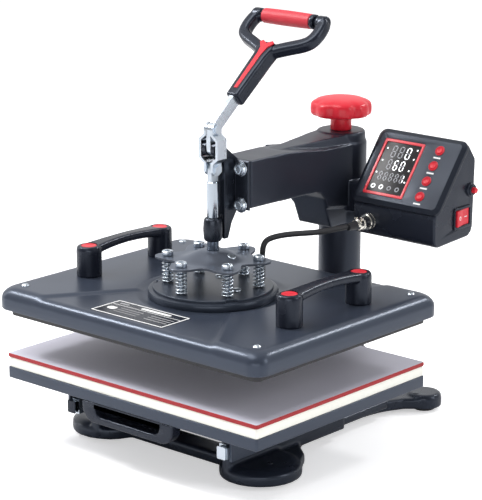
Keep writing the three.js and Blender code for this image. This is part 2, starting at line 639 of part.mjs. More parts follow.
add('base_frame', baseFrame(), BASE_BLACK);
for (const [side, sign] of sides) {
  add(`foot_front_${side}`, rubberFoot(sign * FRONT_FOOT.x, FRONT_FOOT.y, 34), RUBBER);
  add(`foot_rear_${side}`, rubberFoot(sign * REAR_FOOT.x, REAR_FOOT.y, 14), RUBBER);
  add(`slide_outer_${side}`, sign > 0 ? outerRail() : mirrored(outerRail()), ZINC);
  add(`slide_inner_${side}`, sign > 0 ? innerRail() : mirrored(innerRail()), ZINC);
}
add('drawer_frame', drawerFrame(), SLATE);
add('pull_handle', pullHandle(), BLACK_PLASTIC);
add('lower_plate', lowerLayer(4, LOWER.bottom, LOWER.top, 0.8), SLATE);
add('foam_pad', lowerLayer(3, LOWER.top + GAP, LOWER.padTop, 0, 0.5), FOAM);
add('silicone_sheet', lowerLayer(3, LOWER.padTop + GAP, LOWER.sheetTop, 0), SHEET);

add('column', column(), CASTING);
add('arm_casting', armCasting(), CASTING);
bracketBoltPlaces().forEach(([x, z], i) => add(`bracket_bolt_${i + 1}`, bracketBolt(x, z), ZINC));
add('pressure_knob', pressureKnob(), RED_PLASTIC);
add('pressure_screw', rod(7.6, vec(0, COLUMN.y, 215), vec(0, COLUMN.y, 355.5)), ZINC);

// The toggle, the spider and the mounting disc share the plunger's axis.
const toggle = new THREE.Group();
toggle.position.y = AXIS_Y;
toggle.add(piece('guide_bracket', guideBracket(), BLACK_PLASTIC));
toggle.add(piece('plunger_guide', plungerGuide(), BLACK_PLASTIC));
toggle.add(piece('lever_pivot_bolt', rod(PIN.radius, vec(-9.9, 0, PIVOT_Z), vec(9.9, 0, PIVOT_Z)), ZINC));
toggle.add(piece('lever_bar', leverBar(), ZINC));
toggle.add(piece('link_yoke', linkYoke(), ZINC));
toggle.add(piece('plunger_shaft', plungerShaft(), CHROME));
toggle.add(piece('spider_plate', spiderPlate(), BLACK_PLASTIC));
toggle.add(piece('mounting_disc', mountingDisc(), BLACK_PLASTIC));
springBoltPlaces().forEach(([x, y], i) => {
  toggle.add(piece(`spring_bolt_${i + 1}`, springBolt(x, y), ZINC));
  toggle.add(piece(`spring_${i + 1}`, spring(x, y), ZINC));
});
const handle = new THREE.Group();
handle.position.set(0, STEM.y, STEM.z);
handle.rotation.x = rad(STEM.lean);
handle.add(piece('handle_frame', handleFrame(), BLACK_PLASTIC));
handle.add(piece('handle_grip', handleGrip(), RED_PLASTIC));
toggle.add(handle);
press.add(toggle);

add('platen_housing', platenHousing(), SLATE);
add('heater_plate', heaterPlate(), ALUMINIUM);
for (const [side, sign] of sides) {
  add(`side_handle_${side}`, sideHandle(sign * SIDE_HANDLE.x), BLACK_PLASTIC);
}

add('control_box_shell', controlBoxShell(), BLACK_PLASTIC);
const panel = new THREE.Group();
panel.position.set((BOX.left + BOX.right) / 2, (BOX.lipY + BOX.crestY) / 2, (BOX.lipZ + BOX.crestZ) / 2);
panel.rotation.x = Math.atan2(BOX.crestZ - BOX.lipZ, BOX.crestY - BOX.lipY);
panel.add(piece('control_panel', controlPanel(), BLACK_PLASTIC));
panel.add(piece('display_window', displayWindow(), SCREEN));
panel.add(piece('circuit_board', circuitBoard(), BOARD));
buttonHeights().forEach((y, i) => panel.add(piece(`button_${i + 1}`, pressButton(y), RED_PLASTIC)));
press.add(panel);
add('power_rocker', powerRocker(), RED_PLASTIC);
add('reset_button', resetButton(), RED_PLASTIC);
add('cable_connector', cableConnector(), ZINC);
add('heater_cable', heaterCable(), RUBBER);

press.position.y = -FOOTPRINT_Y;

export default press;
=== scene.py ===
"""Looks of a swing-away heat press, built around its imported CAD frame. Shapes are in millimetres."""

from math import atan2, cos, hypot, pi, radians, sin

import bmesh
import bpy
from mathutils import Matrix, Vector


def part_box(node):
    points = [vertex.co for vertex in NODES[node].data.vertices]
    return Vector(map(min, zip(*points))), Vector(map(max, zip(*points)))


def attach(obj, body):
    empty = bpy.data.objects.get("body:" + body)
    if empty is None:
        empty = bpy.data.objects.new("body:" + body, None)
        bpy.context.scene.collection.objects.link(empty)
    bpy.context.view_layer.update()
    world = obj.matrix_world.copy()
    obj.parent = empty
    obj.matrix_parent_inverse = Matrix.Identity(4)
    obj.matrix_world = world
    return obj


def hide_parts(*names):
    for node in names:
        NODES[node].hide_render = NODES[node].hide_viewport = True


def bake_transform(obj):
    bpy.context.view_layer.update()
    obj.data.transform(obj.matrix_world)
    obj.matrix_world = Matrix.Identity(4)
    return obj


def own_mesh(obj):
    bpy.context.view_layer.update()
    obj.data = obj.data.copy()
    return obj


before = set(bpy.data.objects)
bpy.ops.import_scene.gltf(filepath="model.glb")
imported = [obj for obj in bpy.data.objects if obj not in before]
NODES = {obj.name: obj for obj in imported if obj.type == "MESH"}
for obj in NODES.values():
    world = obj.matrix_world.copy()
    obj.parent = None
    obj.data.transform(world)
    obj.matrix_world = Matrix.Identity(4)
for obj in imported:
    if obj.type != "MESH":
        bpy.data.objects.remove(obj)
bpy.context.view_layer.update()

MM = 0.001
SCENE = bpy.context.scene
CORNERS = [(1, 1), (-1, 1), (-1, -1), (1, -1)]

# The shapes below are measured from the floor under the centre of the lower platen.
PLATE_LOW, PLATE_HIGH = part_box("lower_plate")
ORIGIN = Vector((0, (PLATE_LOW.y + PLATE_HIGH.y) / 2 / MM, 0))


def box(node):
    """Lowest and highest corners of a CAD node."""
    return [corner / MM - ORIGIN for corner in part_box(node)]


def low(node):
    return box(node)[0]


def high(node):
    return box(node)[1]


def middle(node):
    return (low(node) + high(node)) / 2


# ---- places taken from the frame
AXIS_Y = middle("plunger_shaft").y
COLUMN_Y = middle("column").y
PIVOT_Z = middle("lever_pivot_bolt").z
HEAD = middle("platen_housing")
HOUSING_LOW, HOUSING_HIGH = box("platen_housing")
BOLTS = [middle(f"spring_bolt_{i}") for i in range(1, 7)]
STEM_LEAN = radians(39.3)  # the handle stem above the horizontal
STEM_FOOT = Vector((0, 33.9, 395.2))
PANEL_SLOPE = atan2(338 - 262, 239 - 180)
VIEW_AZIMUTH, VIEW_ELEVATION = radians(41.53), radians(14.96)
CAMERA_PLACE, LENS, SENSOR = Vector((1.610, -1.7728, 0.8677)), 158.4, 36  # metres, then millimetres
PANEL_CENTRE = Vector((114, 209.5, 300))
GLASS = (-20, -1)  # middle of the display on the panel, as are the buttons below
BUTTON_X = 31
BUTTON_HEIGHTS = [30.5 - 20 * k for k in range(4)]
BOX_SIDE = 173  # the control box's right face


# ---- mesh tools
def at(x, y, z):
    return Matrix.Translation((x, y, z))


ON_COLUMN, ON_AXIS = at(0, COLUMN_Y, 0), at(0, AXIS_Y, 0)


def spun(degrees, axis):
    return Matrix.Rotation(radians(degrees), 4, axis)


def smoothstep(value, start, end):
    """0 before start, 1 after end, and eased between them."""
    t = min(1, max(0, (value - start) / (end - start)))
    return t * t * (3 - 2 * t)


def arc(centre, radius, start, end, steps=8):
    """Points on a circle, from one angle to another in degrees."""
    cu, cv = centre
    angles = [radians(start + (end - start) * i / steps) for i in range(steps + 1)]
    return [(cu + radius * cos(a), cv + radius * sin(a)) for a in angles]


def rounded_box(width, height, corner, centre=(0, 0), steps=6):
    """Outline of a rectangle with round corners, anticlockwise."""
    u, v = width / 2 - corner, height / 2 - corner
    cu, cv = centre
    outline = []
    for k, (su, sv) in enumerate(CORNERS):
        outline += arc((cu + su * u, cv + sv * v), corner, 90 * k, 90 * k + 90, steps)
    return outline


def circle(radius, steps=12, centre=(0, 0)):
    return arc(centre, radius, 0, 360 - 360 / steps, steps - 1)


def polar(radius, angle, z, x=0, y=0):
    return Vector((x + radius * cos(angle), y + radius * sin(angle), z))


def smooth_path(points, steps=6):
    """A Catmull-Rom curve through the points."""
    points = [Vector(p) for p in points]
    padded = [2 * points[0] - points[1], *points, 2 * points[-1] - points[-2]]
    path = []
    for a, b, c, d in zip(padded, padded[1:], padded[2:], padded[3:]):
        for i in range(steps):
            t = i / steps
            path.append(0.5 * (2 * b + (c - a) * t + (2 * a - 5 * b + 4 * c - d) * t * t
                               + (3 * b - a - 3 * c + d) * t ** 3))
    return path + [points[-1]]


def linked(name, data):
    """A new object in the scene that holds the data."""
    obj = bpy.data.objects.new(name, data)
    SCENE.collection.objects.link(obj)
    return obj


def solid(name, points, faces, place=None):
    """A mesh object from millimetre points, with its faces turned outwards. It rides on nothing yet."""
    place = place or Matrix.Identity(4)
    mesh = bpy.data.meshes.new(name)
    mesh.from_pydata([(place @ Vector(p) + ORIGIN) * MM for p in points], [], faces)
    bm = bmesh.new()
    bm.from_mesh(mesh)
    bmesh.ops.remove_doubles(bm, verts=bm.verts, dist=1e-7)
    bmesh.ops.recalc_face_normals(bm, faces=bm.faces)
    bm.to_mesh(mesh)
    bm.free()
    return linked(name, mesh)


def skin(name, rings, place=None, closed=False):
    """A solid whose surface runs through rings of equal length. A ring of one point is a pole."""
    points, faces, index = [], [], []
    for ring in rings:
        index.append(range(len(points), len(points) + len(ring)))
        points += ring
    pairs = list(zip(index, index[1:])) + ([(index[-1], index[0])] if closed else [])
    for a, b in pairs:
        count = max(len(a), len(b))
        for i in range(count):
            j = (i + 1) % count
            if len(a) == 1:
                faces.append((a[0], b[j], b[i]))
            elif len(b) == 1:
                faces.append((a[i], a[j], b[0]))
            else:
                faces.append((a[i], a[j], b[j], b[i]))
    if not closed:
        faces += [tuple(ring) for ring in (index[0], index[-1]) if len(ring) > 2]
    return solid(name, points, faces, place)


def turned(name, profile, sides=64, place=None, closed=False):
    """A turned solid about z. The profile is (radius, height) pairs, from pole to pole or closed."""
    rings = []
    for r, z in profile:
        ring = [Vector((u, v, z)) for u, v in circle(r, sides)] if r > 0 else [Vector((0, 0, z))]
        rings.append(ring)
    return skin(name, rings, place, closed)


PLANES = {
    "x": Matrix(((0, 0, 1, 0), (1, 0, 0, 0), (0, 1, 0, 0), (0, 0, 0, 1))),
    "y": Matrix(((1, 0, 0, 0), (0, 0, 1, 0), (0, 1, 0, 0), (0, 0, 0, 1))),
    "z": Matrix.Identity(4),
}


def prism(name, outline, start, end, along="z", place=None):
    """An outline pushed from start to end along an axis. The outline lies in the other two axes."""
    rings = [[Vector((u, v, w)) for u, v in outline] for w in (start, end)]
    return skin(name, rings, PLANES[along] if place is None else place @ PLANES[along])


def plate(name, outlines, start, end, edge, along="z", place=None):
    """A plate with holes and a round edge: the first outline is its rim, the others its holes."""
    curve = bpy.data.curves.new(name, "CURVE")
    curve.dimensions = "2D"
    curve.fill_mode = "BOTH"
    curve.extrude = (end - start) / 2 - edge
    curve.bevel_depth = edge
    curve.bevel_resolution = 3
    curve.offset = -edge
    for outline in outlines:
        spline = curve.splines.new("POLY")
        spline.points.add(len(outline) - 1)
        for point, (u, v) in zip(spline.points, outline):
            point.co = (u, v, 0, 1)
        spline.use_cyclic_u = True
    drawn = linked(name + "_curve", curve)
    mesh = bpy.data.meshes.new_from_object(drawn.evaluated_get(bpy.context.evaluated_depsgraph_get()))
    bpy.data.objects.remove(drawn)
    points = [v.co + Vector((0, 0, (start + end) / 2)) for v in mesh.vertices]
    faces = [tuple(f.vertices) for f in mesh.polygons]
    return solid(name, points, faces, PLANES[along] if place is None else place @ PLANES[along])


def swept(name, path, section, up=(0, 0, 1), place=None):
    """A section carried along a path. The section is (sideways, upwards) pairs, or a function of 0..1."""
    rings = []
    side = None
    for i, point in enumerate(path):
        before, after = path[max(i - 1, 0)], path[min(i + 1, len(path) - 1)]
        tangent = (after - before).normalized()
        if side is None:
            side = tangent.cross(Vector(up)).normalized()
        side = (side - tangent * side.dot(tangent)).normalized()
        lift = side.cross(tangent)
        shape = section(i / (len(path) - 1)) if callable(section) else section
        rings.append([point + side * u + lift * v for u, v in shape])
    return skin(name, rings, place)


def keep_modifiers(obj):
    """Makes the modifiers' result the object's own mesh."""
    graph = bpy.context.evaluated_depsgraph_get()
    mesh = bpy.data.meshes.new_from_object(obj.evaluated_get(graph))
    obj.modifiers.clear()
    obj.data = mesh
    return obj


def join(name, parts):
    """One object that holds the meshes of all the parts."""
    bm = bmesh.new()
    for part in parts:
        bm.from_mesh(part.data)
        bpy.data.objects.remove(part)
    mesh = bpy.data.meshes.new(name)
    bm.to_mesh(mesh)
    bm.free()
    return linked(name, mesh)


def cast(name, parts, voxel, smoothing):
    """One casting from overlapping solids, with a fillet wherever they meet."""
    obj = join(name, parts)
    remesh = obj.modifiers.new("skin", "REMESH")
    remesh.mode = "VOXEL"
    remesh.voxel_size = voxel * MM
    smooth = obj.modifiers.new("fillet", "SMOOTH")
    smooth.factor = 0.5
    smooth.iterations = smoothing
    return keep_modifiers(obj)


def soften(obj, width, steps=3, angle=32):
    """Rounds the sharp edges of a piece."""
    bevel = obj.modifiers.new("edge", "BEVEL")
    bevel.width = width * MM
    bevel.segments = steps
    bevel.limit_method = "ANGLE"
    bevel.angle_limit = radians(angle)
    bevel.harden_normals = True
    return obj


def cut(obj, *cutters):
    """Takes the cutters' shapes out of a piece."""
    for cutter in cutters:
        boolean = obj.modifiers.new("cut", "BOOLEAN")
        boolean.object = cutter
        boolean.operation = "DIFFERENCE"
        boolean.solver = "EXACT"
    keep_modifiers(obj)
    for cutter in cutters:
        bpy.data.objects.remove(cutter)
    return obj


def finish(obj, body, material, slot=None, stands_for=(), edge=0.0):
    """Gives a piece its material, its edge and the body it rides on."""
    obj.data.materials.clear()
    for one in material if isinstance(material, (list, tuple)) else [material]:
        obj.data.materials.append(one)
    obj.data.shade_smooth()
    if edge:
        soften(obj, edge)
    else:
        obj.data.set_sharp_from_angle(angle=radians(40))
    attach(obj, body)
    if stands_for:
        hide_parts(*stands_for)
    return obj


def lathe(name, body, material, profile, sides=64, place=None, closed=False, **looks):
    """A turned piece that is finished as it is made."""
    return finish(turned(name, profile, sides, place, closed), body, material, **looks)


# ---- materials
def node_maker(material):
    tree = material.node_tree

    def add(kind, links=(), **values):
        node = tree.nodes.new(kind)
        for key, value in values.items():
            if key in node.inputs:
                node.inputs[key].default_value = value
            else:
                setattr(node, key, value)
        for name, source in links:
            tree.links.new(source, node.inputs[name])
        return node

    return add


def remap(add, source, start, end, first, last):
    """Maps start..end onto first..last."""
    node = add("ShaderNodeMapRange", [("Value", source)])
    for socket, value in zip(node.inputs[1:5], (start, end, first, last)):
        socket.default_value = value
    return node.outputs["Result"]


def surface(name, colour, roughness, metal=0.0, grain=0.9, bump=0.1, mottle=0.08, uneven=0.08,
            stretch=(1, 1, 1), edge_wear_and_highlight=None, specular=0.5, cells=False, gloss_tint=(1, 1, 1)):
    """A finish with grain (mm), uneven colour, uneven gloss and, if asked, pale rounded edges: a painted
    highlight along the edges, partly wear.
    """
    material = bpy.data.materials.new(name)
    material.use_nodes = True
    add = node_maker(material)
    link = material.node_tree.links.new
    shader = material.node_tree.nodes["Principled BSDF"]
    place = add("ShaderNodeTexCoord")
    scale = add("ShaderNodeMapping", [("Vector", place.outputs["Object"])], Scale=stretch)
    vector = ("Vector", scale.outputs["Vector"])
    fine_kind = "ShaderNodeTexVoronoi" if cells else "ShaderNodeTexNoise"
    fine = add(fine_kind, [vector], Scale=1 / (grain * MM))
    if not cells:
        fine.inputs["Detail"].default_value = 3.0
    broad = add("ShaderNodeTexNoise", [vector], Scale=22.0, Detail=5.0)
    dark = tuple(c * (1 - mottle) for c in colour) + (1,)
    light = tuple(min(1, c * (1 + mottle)) for c in colour) + (1,)
    tint = add("ShaderNodeMix", [("Factor", broad.outputs["Fac"])], data_type="RGBA")
    tint.inputs[6].default_value = dark
    tint.inputs[7].default_value = light
    colour_out = tint.outputs[2]
    # pale colour mixed in where the bevel normal turns from the face normal: a painted highlight on rounded
    # edges, partly edge wear
    if edge_wear_and_highlight is not None:
        rounded = add("ShaderNodeBevel", samples=4, Radius=0.9 * MM)
        plain = add("ShaderNodeNewGeometry")
        turn = add("ShaderNodeVectorMath", operation="DOT_PRODUCT")
        link(rounded.outputs["Normal"], turn.inputs[0])
        link(plain.outputs["Normal"], turn.inputs[1])
        edge_highlight_mask = remap(add, turn.outputs["Value"], 0.995, 0.9, 0, edge_wear_and_highlight[1])
        worn_and_highlighted = add("ShaderNodeMix", [("Factor", edge_highlight_mask)], data_type="RGBA")
        link(colour_out, worn_and_highlighted.inputs[6])
        worn_and_highlighted.inputs[7].default_value = tuple(edge_wear_and_highlight[0]) + (1,)
        colour_out = worn_and_highlighted.outputs[2]
    link(colour_out, shader.inputs["Base Color"])
    gloss = remap(add, broad.outputs["Fac"], 0.3, 0.7, roughness * (1 - uneven), roughness * (1 + uneven))
    link(gloss, shader.inputs["Roughness"])
    height = fine.outputs["Distance"] if cells else fine.outputs["Fac"]
    relief = add("ShaderNodeBump", [("Height", height)], Strength=bump, Distance=0.15 * MM)
    link(relief.outputs["Normal"], shader.inputs["Normal"])
    values = {"Metallic": metal, "Specular IOR Level": specular, "Specular Tint": (*gloss_tint, 1)}
    for socket, value in values.items():
        shader.inputs[socket].default_value = value
    return material


def woven(name, colour, roughness, pitch, bump):
    """A woven glass cloth under a smooth coat: two sets of ribs at right angles."""
    material = surface(name, colour, roughness, grain=0.6, bump=0.05, mottle=0.05)
    add = node_maker(material)
    link = material.node_tree.links.new
    nodes = material.node_tree.nodes
    place = nodes["Texture Coordinate"]
    ribs = [add("ShaderNodeTexWave", [("Vector", place.outputs["Object"])], bands_direction=axis,
                Scale=pi / (10 * pitch * MM), Distortion=0.6, Detail=1.0) for axis in ("X", "Y")]
    weave = add("ShaderNodeMath", operation="MULTIPLY")
    for i, rib in enumerate(ribs):
        link(rib.outputs["Fac"], weave.inputs[i])
    relief = add("ShaderNodeBump", [("Height", weave.outputs["Value"])], Strength=bump, Distance=0.2 * MM)
    link(nodes["Bump"].outputs["Normal"], relief.inputs["Normal"])
    link(relief.outputs["Normal"], nodes["Principled BSDF"].inputs["Normal"])
    return material


def glowing(name, colour, strength):
    """A lit segment behind a display window."""
    material = surface(name, colour, 0.4, grain=0.4, bump=0.02, mottle=0.04)
    shader = material.node_tree.nodes["Principled BSDF"]
    shader.inputs["Emission Color"].default_value = (*colour, 1)
    shader.inputs["Emission Strength"].default_value = strength
    return material


COOL = (0.72, 0.82, 1.0)
# the pale colour and strength given for the edges of these finishes paint a highlight on rounded edges, partly
# wear
SLATE = surface("slate_coat", (0.034, 0.042, 0.062), 0.30, metal=0.1, grain=0.5, bump=0.045, mottle=0.07,
                uneven=0.04, edge_wear_and_highlight=((0.13, 0.145, 0.18), 0.5), specular=0.55, gloss_tint=COOL)
CASTING = surface("casting_paint", (0.017, 0.020, 0.031), 0.36, metal=0.05, grain=1.1, bump=0.16, mottle=0.10,
                  edge_wear_and_highlight=((0.09, 0.10, 0.13), 0.4), gloss_tint=COOL)
BASE_PAINT = surface("base_paint", (0.012, 0.015, 0.024), 0.28, metal=0.05, grain=1.3, bump=0.16, mottle=0.12,
                     edge_wear_and_highlight=((0.07, 0.08, 0.11), 0.35), gloss_tint=COOL)
BLACK_PLASTIC = surface("black_plastic", (0.011, 0.013, 0.021), 0.27, grain=0.5, bump=0.10,
                        specular=0.4, gloss_tint=COOL)
PANEL_PLASTIC = surface("panel_plastic", (0.010, 0.012, 0.019), 0.36, grain=0.45, bump=0.08,
                        specular=0.35, gloss_tint=COOL)
BLACK_STEEL = surface("black_steel", (0.009, 0.011, 0.017), 0.26, metal=0.1, grain=0.9, bump=0.08,
                      edge_wear_and_highlight=((0.10, 0.11, 0.14), 0.4), gloss_tint=COOL)
SPIDER_STEEL = surface("spider_steel", (0.085, 0.095, 0.118), 0.30, metal=0.35, grain=0.8, bump=0.05,
                       edge_wear_and_highlight=((0.35, 0.37, 0.42), 0.5), gloss_tint=COOL)
DISC_STEEL = surface("disc_steel", (0.028, 0.034, 0.048), 0.30, metal=0.1, grain=0.9, bump=0.05,
                     edge_wear_and_highlight=((0.16, 0.18, 0.21), 0.4), gloss_tint=COOL)
RED_PLASTIC = surface("red_plastic", (0.66, 0.016, 0.034), 0.34, grain=0.5, bump=0.06, mottle=0.06,
                      specular=0.4)
RED_GRIP = surface("red_grip", (0.60, 0.026, 0.046), 0.52, grain=0.35, bump=0.55, mottle=0.18, uneven=0.15,
                   stretch=(0.25, 1, 1))
ZINC = surface("zinc", (0.60, 0.66, 0.73), 0.26, metal=1.0, grain=0.3, bump=0.08, mottle=0.08, uneven=0.25,
               stretch=(1, 1, 0.2))
CHROME = surface("chrome", (0.42, 0.47, 0.53), 0.14, metal=1.0, grain=0.25, bump=0.02, mottle=0.03,
                 stretch=(1, 1, 0.05))
NICKEL = surface("nickel", (0.80, 0.77, 0.70), 0.18, metal=1.0, grain=0.3, bump=0.08, mottle=0.12)
ALUMINIUM = surface("aluminium", (0.018, 0.018, 0.022), 0.45, metal=0.2, grain=0.8, bump=0.10)
FOAM = surface("foam", (0.95, 0.95, 0.88), 0.85, grain=0.7, bump=0.5, mottle=0.04, cells=True)
SHEET_EDGE = surface("silicone_red", (0.36, 0.016, 0.022), 0.6, grain=0.8, bump=0.25, mottle=0.10)
SHEET_TOP = woven("sheet_top", (0.72, 0.71, 0.82), 0.50, 1.1, 0.35)
RUBBER = surface("rubber_black", (0.012, 0.013, 0.017), 0.55, grain=0.6, bump=0.3, mottle=0.12)
BOARD = surface("circuit_board", (0.010, 0.09, 0.045), 0.45, grain=0.5, bump=0.1, mottle=0.1)
SCREEN = surface("display", (0.004, 0.004, 0.006), 0.30, grain=0.5, bump=0.01, mottle=0.05, specular=0.15)
PRINT = surface("white_print", (0.86, 0.86, 0.86), 0.5, grain=0.4, bump=0.05, mottle=0.04)
DIM_PRINT = surface("grey_print", (0.30, 0.30, 0.31), 0.5, grain=0.4, bump=0.05, mottle=0.04)
LIT = glowing("lit_segment", (0.95, 0.97, 1.0), 0.9)
UNLIT = surface("unlit_segment", (0.24, 0.25, 0.28), 0.4, grain=0.4, bump=0.02, mottle=0.04)


# ---- CAD nodes whose shape is right
KEPT = [
    (RUBBER, 0.5, ["foot_front_left", "foot_front_right", "foot_rear_left", "foot_rear_right"]),
    (ZINC, 0.25, ["slide_outer_left", "slide_outer_right", "slide_inner_left", "slide_inner_right"]),
    (SLATE, 0.5, ["drawer_frame"]),
    (BLACK_STEEL, 0.8, ["guide_bracket"]),
    (ZINC, 0.4, ["lever_pivot_bolt"]),
    (ZINC, 0.5, ["lever_bar"]),
    (ZINC, 0.7, ["link_yoke"]),
    (ZINC, 0, ["pressure_screw"]),
    (BOARD, 0, ["circuit_board"]),
]


def kept_nodes():
    """Gives the kept nodes their finish and round edges (mm)."""
    for material, edge, names in KEPT:
        for obj in (NODES[name] for name in names):
            obj.data.materials.clear()
            obj.data.materials.append(material)
            obj.data.shade_smooth()
            flat = obj.modifiers.new("flat_faces", "DECIMATE")
            flat.decimate_type = "DISSOLVE"
            flat.angle_limit = radians(0.6)
            if edge:
                soften(obj, edge, 2, 28)


# ---- base
def base_outline():
    """Half of the casting's outline, from the middle of its front edge to the middle of its back."""
    half = [(0, -66), (70, -66)]
    half += arc((115, -52), 46, 200, 410, 28)
    half += [(p.x, p.y) for p in smooth_path([(133, 2, 0), (108, 24, 0), (92, 52, 0), (86, 90, 0),
                                              (86, 150, 0), (91, 192, 0), (104, 222, 0)], 4)]
    half += arc((109, 254), 21, -35, 120, 14)
    half += [(60, 262), (0, 266)]
    return half


def base_casting():
    half = base_outline()
    outline = half + [(-x, y) for x, y in reversed(half[1:-1])]
    window = rounded_box(116, 202, 16, (0, 69))
    parts = [plate("plate", [outline, window], 4, 17.5, 3)]
    hub = [(0, 4), (44, 4), (43, 20), (39.5, 34), (37, 54), (34.5, 60), (0, 60)]
    parts.append(turned("hub", hub, 64, ON_COLUMN))
    for side in (-1, 1):
        foot = [(0, 4), (45.5, 4), (46, 9), (45.6, 13), (43, 17.5), (38.5, 20.2), (34, 21), (0, 21)]
        parts.append(turned("foot", foot, 64, at(side * 115, -52, 0)))
        pad = [(0, 4), (21, 4), (21, 16), (19.5, 20), (17, 21), (0, 21)]
        parts.append(turned("pad", pad, 48, at(side * 109, 254, 0)))
        low_x, high_x = sorted((side * 94.6, side * 107.3))
        riser = [(low_x, 12), (high_x, 12), (high_x, 54), (low_x, 54)]
        parts.append(prism("riser", riser, -95, 105, "y"))
        rib = [(side * 66, 12), (side * 100, 12), (side * 100, 21.5), (side * 70, 21.5)]
        parts.append(prism("rib", rib, 96, 196, "y"))
        arm = [(20, 262), (side * 96, 262), (side * 96, 244), (20, 236)]
        parts.append(prism("toe", arm, 6, 20))
    base = cast("base_casting", parts, 1.5, 8)
    return finish(base, "base", BASE_PAINT, stands_for=["base_frame"])


def base_screws():
    """A small screw on each foot."""
    z = 20.6
    for side in (-1, 1):
        for k, (x, y) in enumerate([(side * 132, -56), (side * 107, 241)]):
            name = f"foot_screw_{'l' if side < 0 else 'r'}_{k + 1}"
            lathe(name, "base", BLACK_STEEL, [(0, 0), (3.4, 0), (3.0, 0.9), (0, 1.2)], 24, at(x, y, z))


# ---- column and knob
def column():
    bottom, top = low("column").z, high("column").z
    profile = [(0, bottom), (25.5, bottom), (25.5, top - 1), (24.5, top), (0, top)]
    lathe("column_tube", "swing_column", CASTING, profile, 96, ON_COLUMN, stands_for=["column"])
    ring = [(25.6, 60.4), (31.5, 60.4), (32, 61.4), (31, 64.5), (28.5, 66), (25.6, 66)]
    lathe("column_collar", "swing_column", BLACK_STEEL, ring, 96, ON_COLUMN, closed=True,
          slot="casting_paint", edge=0.3)


def knob():
    """Eight shallow lobes, a crowned top and a stem."""
    bottom, top = low("pressure_knob").z + 16.7, high("pressure_knob").z
    sides, lobes = 192, 8
    sections = [(0, bottom + 5), (11, bottom + 3.5), (15, bottom + 1.2), (30, bottom), (34.6, bottom + 1.0),
                (36.2, bottom + 3.2), (36.4, bottom + 8), (36.2, bottom + 13.4), (34.8, bottom + 16.4),
                (31, bottom + 18.6), (24, top - 1.6), (14, top - 0.5), (0, top)]
    rings = []
    for r, z in sections:
        if r == 0:
            rings.append([Vector((0, COLUMN_Y, z))])
            continue
        depth = 2.3 * max(0, (r - 22) / 14)
        ring = []
        for i in range(sides):
            a = 2 * pi * i / sides
            reach = r - depth * (0.5 - 0.5 * cos(lobes * a)) ** 2
            ring.append(polar(reach, a, z, y=COLUMN_Y))
        rings.append(ring)
    cap = skin("knob_cap", rings)
    crown = cap.modifiers.new("crown", "SUBSURF")
    crown.levels = crown.render_levels = 1
    finish(keep_modifiers(cap), "knob", RED_PLASTIC, stands_for=["pressure_knob"])
    foot = low("pressure_knob").z
    profile = [(0, foot), (12.2, foot), (12.5, foot + 0.5), (12.5, bottom - 1), (14.5, bottom + 2),
               (0, bottom + 2.5)]
    lathe("knob_stem", "knob", RED_PLASTIC, profile, 64, ON_COLUMN, edge=0.3)


# ---- arm
def arm():
    side = [(29.5, 275), (145, 272.5), (155, 269), (162, 261.5), (167, 250), (196, 246), (224, 246), (224, 319),
            (160, 321), (125, 325.5), (95, 328.5), (29.5, 329.5)]
    beam = prism("beam", side, -28.5, 28.5, "x")
    shoulder = prism("shoulder", [(161, 263), (177, 224), (224, 224), (224, 263)], -25, 25, "x")
    profile = [(0, 224), (30.5, 224), (31, 225), (31, 318), (29.4, 321), (29, 329.5), (27.5, 332), (0, 332)]
    sleeve = turned("sleeve", profile, 96, ON_COLUMN)
    spine = []
    for y, half, z in [(62, 2.0, 327.5), (100, 8, 328.5), (150, 15, 329.5), (190, 21, 331), (222, 24, 331.8)]:
        spine.append([Vector((x, y, top)) for x, top in [(-half, z - 0.5), (half, z - 0.5), (half * 1.25, 312),
                                                         (-half * 1.25, 312)]])
    ridge = skin("ridge", spine)
    mount = prism("mount", [(20, 204), (54.5, 204), (54.5, 240), (20, 240)], 240, 276)
    trough = prism("trough", [(-30, 331), (-12, 331), (-30, 321)], 26, 120, "y")
    casting = cast("arm_body", [beam, shoulder, sleeve, ridge, mount], 1.1, 5)
    casting = cut(casting, trough)
    finish(casting, "arm", CASTING, stands_for=["arm_casting"])


def bracket():
    """The plunger guide barrel and the bracket's four bolts; the flange, web and ears that carry the lever
    pivot and the plunger guide stay as the kept CAD node.
    """
    z0, z1 = low("plunger_guide").z, high("plunger_guide").z
    r = high("plunger_guide").x
    profile = [(7, z0), (r - 2.6, z0), (r - 1.2, z0 + 1.4), (r - 0.4, z0 + 6), (r, z0 + 13), (r - 0.4, z1 - 5),
               (r - 1.2, z1 - 1.4), (r - 2.6, z1), (7, z1)]
    lathe("guide_barrel", "arm", BLACK_STEEL, profile, 64, ON_AXIS, closed=True,
          stands_for=["plunger_guide"], edge=0.4)
    for i in range(1, 5):
        flanged_bolt(i)


def flanged_bolt(i):
    """A hexagon bolt with a domed flange, a washer and a dished top."""
    node = f"bracket_bolt_{i}"
    centre = middle(node)
    face = low(node).y
    # along the bolt from its head, as radius and depth from the bracket's face
    turn = at(centre.x, face, centre.z) @ spun(-90, "X")
    lathe(f"bolt_washer_{i}", "arm", ZINC, [(0, 5.3), (8.9, 5.3), (8.9, 6.6), (0, 6.6)], 48, turn, edge=0.25)
    flange = [(0, 5.2), (7.9, 5.2), (7.9, 4.4), (6.2, 3.2), (0, 3.0)]
    lathe(f"bolt_flange_{i}", "arm", ZINC, flange, 48, turn, edge=0.2)
    head = prism(f"bolt_head_{i}", circle(6.2, 6), 0.0, 3.6, "z", turn)
    dish = turned("dish", [(0, -1), (4.0, -1), (3.4, 0.9), (0, 1.1)], 24, turn)
    finish(cut(head, dish), "arm", ZINC, stands_for=[node], edge=0.35)


# ---- toggle
def stem_frame():
    """Maps the handle's own axes, x across and y along the stem, to the row frame."""
    return Matrix.Translation(STEM_FOOT) @ Matrix.Rotation(STEM_LEAN, 4, "X")


